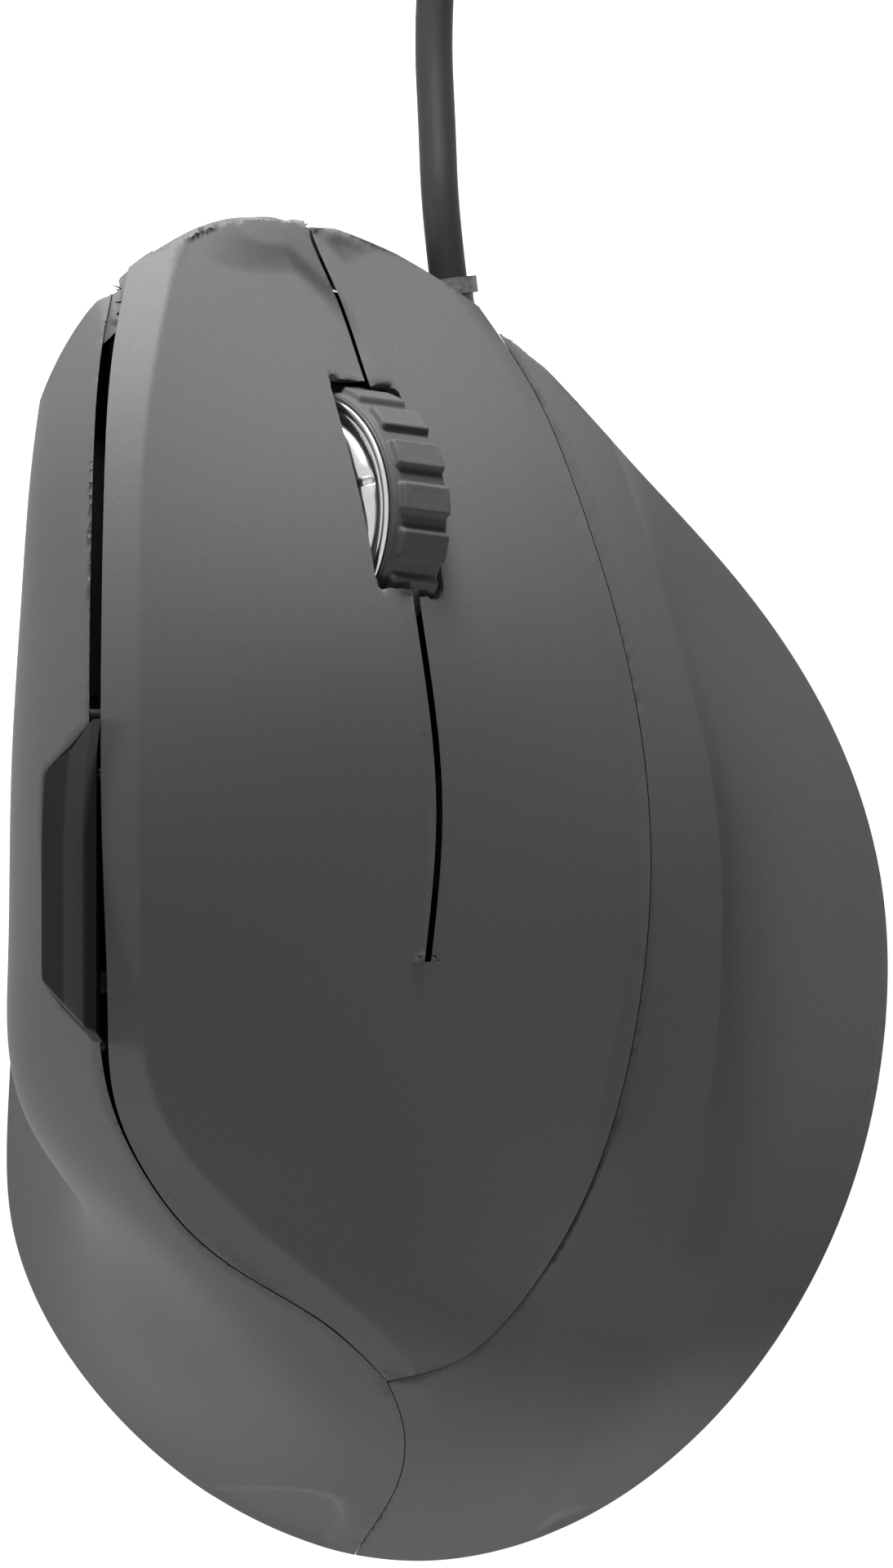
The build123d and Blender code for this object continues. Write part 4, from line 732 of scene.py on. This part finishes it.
def moulding(name, names, material, body, walls, bars, voxel, passes=2, move=None, cut=None):
    """A smooth moulding that stands for CAD nodes."""
    mesh = fine_grid(merged_mesh(names, move), voxel)
    smooth_points(mesh, passes)
    stretched = sum(stretch_past(mesh, wall, 2 * MM, MM) for wall in walls)
    edged = stretch_past(mesh, wall_mesh, 0.9 * MM, 0.2 * MM)
    on_skin = draw_onto(mesh, skin_tree, 0.0007, 0.8)
    mesh = trim(mesh, bars)
    parts = largest_part(mesh)
    if cut:
        cut(mesh)
    mesh.polygons.foreach_set("use_smooth", [True] * len(mesh.polygons))
    mesh.set_sharp_from_angle(angle=math.radians(48))
    mesh.update()
    piece = bpy.data.objects.new(name, mesh)
    scene.collection.objects.link(piece)
    dress(piece, material)
    if body:
        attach(piece, body)
    print(name, len(mesh.vertices), "points", stretched, edged, "stretched", on_skin, "on the skin", parts, "parts")
    return piece


# %% The two side shells
VOXEL = 0.00036
thumb_shell = moulding(
    "thumb_shell_smooth", ["thumb_side_shell"], shell_grey, "housing",
    seam_walls["thumb"], strips["thumb"], VOXEL,
)
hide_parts("thumb_side_shell")
outer_shell = moulding(
    "outer_shell_smooth", ["outer_side_shell"], shell_grey, "housing",
    seam_walls["outer"], strips["outer"], VOXEL,
)
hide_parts("outer_side_shell")

# %% [markdown]
# ## The finger face
# On the real moulding the two keys run on into the palm without a line and bend behind the
# slit. Each half of the face is therefore one piece, made of its key and the palm cover. The
# halves meet along a line from the slit's end to the tip.

# %% The two halves of the finger face
SLIT_END = Vector((-1.5, -5.24, 0)) * MM
TIP = Vector((-0.066 * WIDTH, -0.361 * LENGTH, 0)) * MM
BEND = -5.24 * MM


def close_bend(vertex):
    """The cover's front edge reaches over the bend into the keys."""
    if abs(vertex.co.y - (BEND - 0.15 * MM)) < 0.03 * MM:
        vertex.co.y += 0.6 * MM


def keep_half(side):
    """Removes what lies behind the bend on the far side of the halves' line."""
    line = (TIP - SLIT_END).normalized()
    normal = Vector((line.y, -line.x, 0)) * side

    def cut(mesh):
        form = bmesh.new()
        form.from_mesh(mesh)
        behind = [face for face in form.faces if face.calc_center_median().y < BEND + 1.5 * MM]
        edges = {edge for face in behind for edge in face.edges}
        verts = {vert for face in behind for vert in face.verts}
        bmesh.ops.bisect_plane(
            form, geom=behind + list(edges) + list(verts), dist=1e-8, plane_co=SLIT_END, plane_no=normal,
        )
        far = []
        for face in form.faces:
            middle = face.calc_center_median()
            if middle.y < BEND + 1.2 * MM and (middle - SLIT_END).dot(normal) > 0:
                far.append(face)
        bmesh.ops.delete(form, geom=far, context="FACES")
        form.to_mesh(mesh)
        form.free()
    return cut


for label, side in (("left", -1), ("right", 1)):
    half = moulding(
        f"finger_face_{label}", [f"{label}_key", "palm_cover"], face_grey, None,
        finger_walls[side], strips[side], VOXEL, move=close_bend, cut=keep_half(side),
    )
    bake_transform(half)
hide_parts("left_key", "palm_cover")
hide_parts("right_key")

# %% [markdown]
# ## The scroll wheel
# A soft tyre with eighteen raised pads sits on a plated hub. The tyre is a height field round
# the axle, so that every pad has soft sides and round corners. The hub is turned from one profile, with
# a bright ring, a dark band and a domed cap that shallow slits divide.

# %% Round pieces about the axle
AXLE = on_face(0, 0, -8.2)


def wheel_place(side, angle, radius):
    return AXLE + ACROSS * side + (ROLL * math.cos(angle) + FACE_OUT * math.sin(angle)) * radius


def ring_mesh(name, rows):
    """A closed ring: rows of points round the axle, each row one line across the wheel."""
    grid = np.array(rows)
    turns, columns = grid.shape[:2]
    mesh = bpy.data.meshes.new(name)
    index = np.arange(turns * columns).reshape(turns, columns)
    after, beside = np.roll(index, -1, axis=0), np.roll(index, -1, axis=1)
    corner = np.roll(after, -1, axis=1)
    quads = np.stack([index, beside, corner, after], axis=-1).reshape(-1, 4)
    mesh.from_pydata((grid.reshape(-1, 3) * MM).tolist(), [], quads.tolist())
    mesh.polygons.foreach_set("use_smooth", [True] * len(mesh.polygons))
    mesh.update()
    return mesh


def turned_piece(name, mesh, material, body):
    form = bmesh.new()
    form.from_mesh(mesh)
    bmesh.ops.recalc_face_normals(form, faces=form.faces)
    form.to_mesh(mesh)
    form.free()
    piece = bpy.data.objects.new(name, mesh)
    scene.collection.objects.link(piece)
    dress(piece, material)
    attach(piece, body)
    print(name, len(mesh.vertices), "points")
    return piece


def soft_step(value, low, high):
    share = np.clip((value - low) / (high - low), 0, 1)
    return share * share * (3 - 2 * share)


# %% The tyre
PADS, PAD_TURN = 18, math.radians(-6)
TYRE_LEFT, TYRE_RIGHT, TYRE_IN, TYRE_BASE, TYRE_TOP = -2.8, 3.4, 9.2, 11.25, 11.85
PAD_LEFT, PAD_RIGHT, PAD_HALF, PAD_ROUND, PAD_SLOPE = -2.25, 3.5, 1.55, 0.55, 0.42
steps_round = PADS * 30
across_places = [(TYRE_LEFT, TYRE_IN), (TYRE_LEFT, 10.2), (TYRE_LEFT, 10.75)]
for turn in range(0, 91, 15):
    across_places.append((
        TYRE_LEFT + 0.4 - 0.4 * math.cos(math.radians(turn)), TYRE_BASE - 0.4 + 0.4 * math.sin(math.radians(turn)),
    ))
across_places += [(side, TYRE_BASE) for side in np.arange(-2.3, 3.0, 0.1)]
for turn in range(90, -1, -15):
    across_places.append((
        TYRE_RIGHT - 0.4 + 0.4 * math.cos(math.radians(turn)), TYRE_BASE - 0.4 + 0.4 * math.sin(math.radians(turn)),
    ))
across_places += [(TYRE_RIGHT, 10.2), (TYRE_RIGHT, TYRE_IN)]
sides = np.array([side for side, radius in across_places])
bases = np.array([radius for side, radius in across_places])
rows = []
for step in range(steps_round):
    angle = 2 * math.pi * step / steps_round
    turn = (angle - PAD_TURN - math.pi / PADS) % (2 * math.pi / PADS)
    along = (min(turn, 2 * math.pi / PADS - turn)) * TYRE_TOP
    middle, half = (PAD_LEFT + PAD_RIGHT) / 2, (PAD_RIGHT - PAD_LEFT) / 2
    off_side = np.abs(sides - middle) - half + PAD_ROUND
    off_along = along - PAD_HALF + PAD_ROUND
    away = np.hypot(np.maximum(off_side, 0), max(off_along, 0))
    away += np.minimum(np.maximum(off_side, off_along), 0) - PAD_ROUND
    proud = soft_step(-away, 0, PAD_SLOPE) * (TYRE_TOP - TYRE_BASE) * soft_step(bases, 10.9, TYRE_BASE)
    proud -= 0.05 * soft_step(-away, PAD_SLOPE, PAD_SLOPE * 3)
    rows.append([wheel_place(side, angle, radius + up) for side, radius, up in zip(sides, bases, proud)])
tyre = turned_piece("tyre_padded", ring_mesh("tyre_padded", rows), tyre_rubber, "wheel")
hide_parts("wheel_tyre")

# %% The hub, turned from one profile with slits in its cap
HUB_PROFILE = (
    (3.0, 9.15), (-2.7, 9.15), (-2.75, 10.7), (-2.95, 10.78), (-3.12, 10.72), (-3.2, 10.6), (-3.24, 10.45),
    (-3.22, 10.3), (-3.12, 10.18), (-2.98, 10.14), (-2.95, 10.08), (-3.05, 10.0), (-3.12, 9.9), (-3.08, 9.8),
    (-2.9, 9.72), (-2.72, 9.68), (-2.66, 9.45), (-2.64, 9.3), (-2.66, 9.22), (-2.8, 9.16), (-3.0, 9.08),
    (-3.3, 8.9), (-3.55, 8.62), (-3.72, 8.3), (-3.82, 7.9), (-3.86, 7.4), (-3.84, 6.9), (-3.76, 6.4),
    (-3.6, 5.9), (-3.36, 5.4), (-3.1, 4.9), (-2.9, 4.3), (-2.84, 3.6), (-2.9, 2.9), (-3.0, 2.4),
    (-3.2, 2.2), (-3.3, 1.8), (-3.3, 1.1), (3.2, 1.1), (3.3, 2.2), (3.0, 2.5), (-0.6, 2.6), (-0.6, 7.4), (3.0, 7.5),
)
CAP_SLITS, SLIT_TURN, SLIT_HALF, SLIT_DEEP = 6, math.radians(92), 0.2, 0.5
steps_round = 6 * 90
rows = []
for step in range(steps_round):
    angle = 2 * math.pi * step / steps_round
    turn = (angle - SLIT_TURN) % (2 * math.pi / CAP_SLITS)
    turn = min(turn, 2 * math.pi / CAP_SLITS - turn)
    row = []
    for side, radius in HUB_PROFILE:
        sunk = 0
        if 5 < radius < 9.1 and side < -1:
            away = turn * radius
            sunk = SLIT_DEEP * float(1 - soft_step(away, SLIT_HALF, SLIT_HALF * 2))
            sunk += 0.12 * float(1 - soft_step(away, 0, 1.6)) * (1 if angle % 0.7 < 0.35 else 0.6)
        row.append(wheel_place(side + sunk * 0.8, angle, radius - sunk * 0.6))
    rows.append(row)
hub = turned_piece("hub_plated", ring_mesh("hub_plated", rows), bright_metal, "wheel")
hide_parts("wheel_hub")

# %% The dark band and the line beside the tyre
for name, profile in (
    ("hub_band", ((-2.72, 9.2), (-2.76, 9.45), (-2.78, 9.7), (-2.6, 9.72), (-2.6, 9.2))),
    ("tyre_line", ((-2.86, 10.8), (-2.9, 10.92), (-2.84, 11.0), (-2.7, 11.0), (-2.7, 10.8))),
):
    rows = [[wheel_place(side, 2 * math.pi * step / 240, radius) for side, radius in profile] for step in range(240)]
    turned_piece(name, ring_mesh(name, rows), frame_black, "wheel")

# %% The axle through the hub
rows = []
axle_line = [(-7.9, 0.9), (-8.0, 0.8), (-8.0, 0.15), (10.2, 0.15), (10.2, 0.8), (10.1, 0.9), (10.0, 1.1), (-7.8, 1.1)]
for step in range(48):
    rows.append([wheel_place(side, 2 * math.pi * step / 48, radius) for side, radius in axle_line])
turned_piece("wheel_axle", ring_mesh("wheel_axle", rows), screw_steel, "wheel")

# %% [markdown]
# ## The thumb rocker
# A polished black key with a sloping face: a thin bevel on its lower edge, a broader one at the
# rear, a rolled strip beside the groove, and a front end that curves down into the flank.

# %% The rocker
THUMB_OUT = Vector((-0.86, 0, 0.51)).normalized()
THUMB_UP = Vector((0, 1, 0)).cross(THUMB_OUT).normalized()
ROCKER_PLACE = Vector((-0.422 * WIDTH, 0.009 * LENGTH, skin_level(-0.422 * WIDTH, 0.009 * LENGTH)))
ROCKER_EDGE = ((13.55, 3.75), (8.95, -4.1), (-8.5, -4.1), (-10.5, -2.1), (-13.5, 3.75))
ROCKER_TOP, RIDGE_AT = 5.25, 3.75


def on_thumb(up, along, out):
    return ROCKER_PLACE + THUMB_UP * up + Vector((0, 1, 0)) * along + THUMB_OUT * out


def rocker_low(along):
    """The lower edge of the rocker's outline, with its corners rounded."""
    pairs = list(zip(ROCKER_EDGE, ROCKER_EDGE[1:]))
    levels = [low + (along - y) * (end - low) / (stop - y) for (y, low), (stop, end) in pairs]
    soft = 0.35
    total = sum(math.exp(level / soft) for level in (levels[0], levels[1], levels[2], levels[3]))
    return soft * math.log(total)


def rocker_height(up, along, low):
    """How far the polished face stands out of the flank."""
    face = 0.34 + 0.27 * (up + 4) / 7.8
    front = max(0.0, (along - 1.5) / 12)
    face -= 0.95 * front ** 2.2 * (1 + 0.25 * (RIDGE_AT - up) / 7.8)
    face -= 0.16 * max(0.0, 1 - abs(up) / 3.6) ** 1.0
    bounds = [face, -0.35 + (up - low) * 1.9]
    bounds.append(-0.45 + (along + 13.5 - max(0.0, (RIDGE_AT - up)) * 0.55) * 0.75)
    bounds.append(0.62 - max(0.0, up - RIDGE_AT) * 0.28)
    sharp = 16
    return -math.log(sum(math.exp(-sharp * bound) for bound in bounds)) / sharp


count_along, count_up = ((220, 64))
grid = []
for row in range(count_along + 1):
    along = -13.49 + 27.03 * (0.5 - 0.5 * math.cos(math.pi * row / count_along))
    low = min(rocker_low(along), ROCKER_TOP - 0.05)
    line_up = [low + (ROCKER_TOP - low) * (0.5 - 0.5 * math.cos(math.pi * cell / count_up)) for cell in range(count_up + 1)]
    grid.append([on_thumb(up, along, rocker_height(up, along, low)) for up in line_up])
rocker_mesh = grid_mesh("rocker_polished", np.array(grid))
form = bmesh.new()
form.from_mesh(rocker_mesh)
rim = [edge for edge in form.edges if edge.is_boundary]
wall = bmesh.ops.extrude_edge_only(form, edges=rim)
new_verts = [item for item in wall["geom"] if isinstance(item, bmesh.types.BMVert)]
for vertex in new_verts:
    out = (vertex.co / MM - ROCKER_PLACE).dot(THUMB_OUT)
    vertex.co += (THUMB_OUT * (-1.5 - out) - THUMB_UP * max(0, (vertex.co / MM - ROCKER_PLACE).dot(THUMB_UP) - 3.2)) * MM
new_edges = [item for item in wall["geom"] if isinstance(item, bmesh.types.BMEdge)]
bmesh.ops.holes_fill(form, edges=new_edges, sides=0)
bmesh.ops.recalc_face_normals(form, faces=form.faces)
form.to_mesh(rocker_mesh)
form.free()
rocker_mesh.polygons.foreach_set("use_smooth", [True] * len(rocker_mesh.polygons))
rocker_mesh.set_sharp_from_angle(angle=math.radians(50))
rocker = bpy.data.objects.new("rocker_polished", rocker_mesh)
scene.collection.objects.link(rocker)
dress(rocker, gloss_black)
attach(rocker, "rocker")
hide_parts("thumb_rocker")
print("rocker", len(rocker_mesh.vertices), "points")

# %% [markdown]
# ## Light and floor
# Soft light from the front left, as in the photograph, and a white floor that keeps the
# object's soft shadow.

# %% Floor
floor_mesh = bpy.data.meshes.new("floor")
floor_mesh.from_pydata([(-3, -3, 0), (3, -3, 0), (3, 3, 0), (-3, 3, 0)], [], [(0, 1, 2, 3)])
floor = bpy.data.objects.new("floor", floor_mesh)
floor.location.z = -0.00005
scene.collection.objects.link(floor)
white = bpy.data.materials.new("floor_white")
white.use_nodes = True
tree = white.node_tree
tree.nodes.clear()
out = tree.nodes.new("ShaderNodeOutputMaterial")
diffuse = tree.nodes.new("ShaderNodeBsdfDiffuse")
diffuse.inputs["Color"].default_value = (0.4, 0.4, 0.4, 1)
glow = tree.nodes.new("ShaderNodeEmission")
glow.inputs["Color"].default_value = (1, 1, 1, 1)
path = tree.nodes.new("ShaderNodeLightPath")
lift = tree.nodes.new("ShaderNodeMath")
lift.operation = "MULTIPLY"
lift.inputs[1].default_value = 0.9
seen_floor = tree.nodes.new("ShaderNodeMath")
seen_floor.operation = "MAXIMUM"
tree.links.new(path.outputs["Is Camera Ray"], seen_floor.inputs[0])
tree.links.new(path.outputs["Is Transmission Ray"], seen_floor.inputs[1])
seen_glossy = tree.nodes.new("ShaderNodeMath")
seen_glossy.operation = "MAXIMUM"
tree.links.new(seen_floor.outputs[0], seen_glossy.inputs[0])
tree.links.new(path.outputs["Is Glossy Ray"], seen_glossy.inputs[1])
tree.links.new(seen_glossy.outputs[0], lift.inputs[0])
tree.links.new(lift.outputs[0], glow.inputs["Strength"])
both = tree.nodes.new("ShaderNodeAddShader")
tree.links.new(diffuse.outputs[0], both.inputs[0])
tree.links.new(glow.outputs[0], both.inputs[1])
tree.links.new(both.outputs[0], out.inputs["Surface"])
floor_mesh.materials.append(white)

# %% Lamps and sky
world = bpy.data.worlds.new("sky")
scene.world = world
world.use_nodes = True
world.node_tree.nodes["Background"].inputs["Color"].default_value = (1, 1, 1, 1)
sky = world.node_tree
back = sky.nodes["Background"]
ray = sky.nodes.new("ShaderNodeLightPath")
seen = sky.nodes.new("ShaderNodeMath")
seen.operation = "MAXIMUM"
sky.links.new(ray.outputs["Is Camera Ray"], seen.inputs[0])
sky.links.new(ray.outputs["Is Glossy Ray"], seen.inputs[1])
seen_through = sky.nodes.new("ShaderNodeMath")
seen_through.operation = "MAXIMUM"
sky.links.new(seen.outputs[0], seen_through.inputs[0])
sky.links.new(ray.outputs["Is Transmission Ray"], seen_through.inputs[1])
strength = sky.nodes.new("ShaderNodeMapRange")
strength.inputs["To Min"].default_value = 0.1
strength.inputs["To Max"].default_value = 1.0
sky.links.new(seen_through.outputs[0], strength.inputs["Value"])
sky.links.new(strength.outputs["Result"], back.inputs["Strength"])


def soft_lamp(name, place, power, size):
    light = bpy.data.lights.new(name, "AREA")
    light.energy = power
    light.shape = "DISK"
    light.size = size
    lamp = bpy.data.objects.new(name, light)
    scene.collection.objects.link(lamp)
    lamp.location = place
    lamp.rotation_euler = (Vector((0, 0, 0.03)) - Vector(place)).to_track_quat("-Z", "Y").to_euler()
    return lamp


soft_lamp("key_light", (-0.005, 0.20, 0.065), 0.95, 0.08)
soft_lamp("side_light", (-0.55, 0.05, 0.25), 2.6, 0.25)
soft_lamp("rear_light", (0.12, -0.50, 0.40), 2.2, 0.25)
scene.view_settings.view_transform = "Standard"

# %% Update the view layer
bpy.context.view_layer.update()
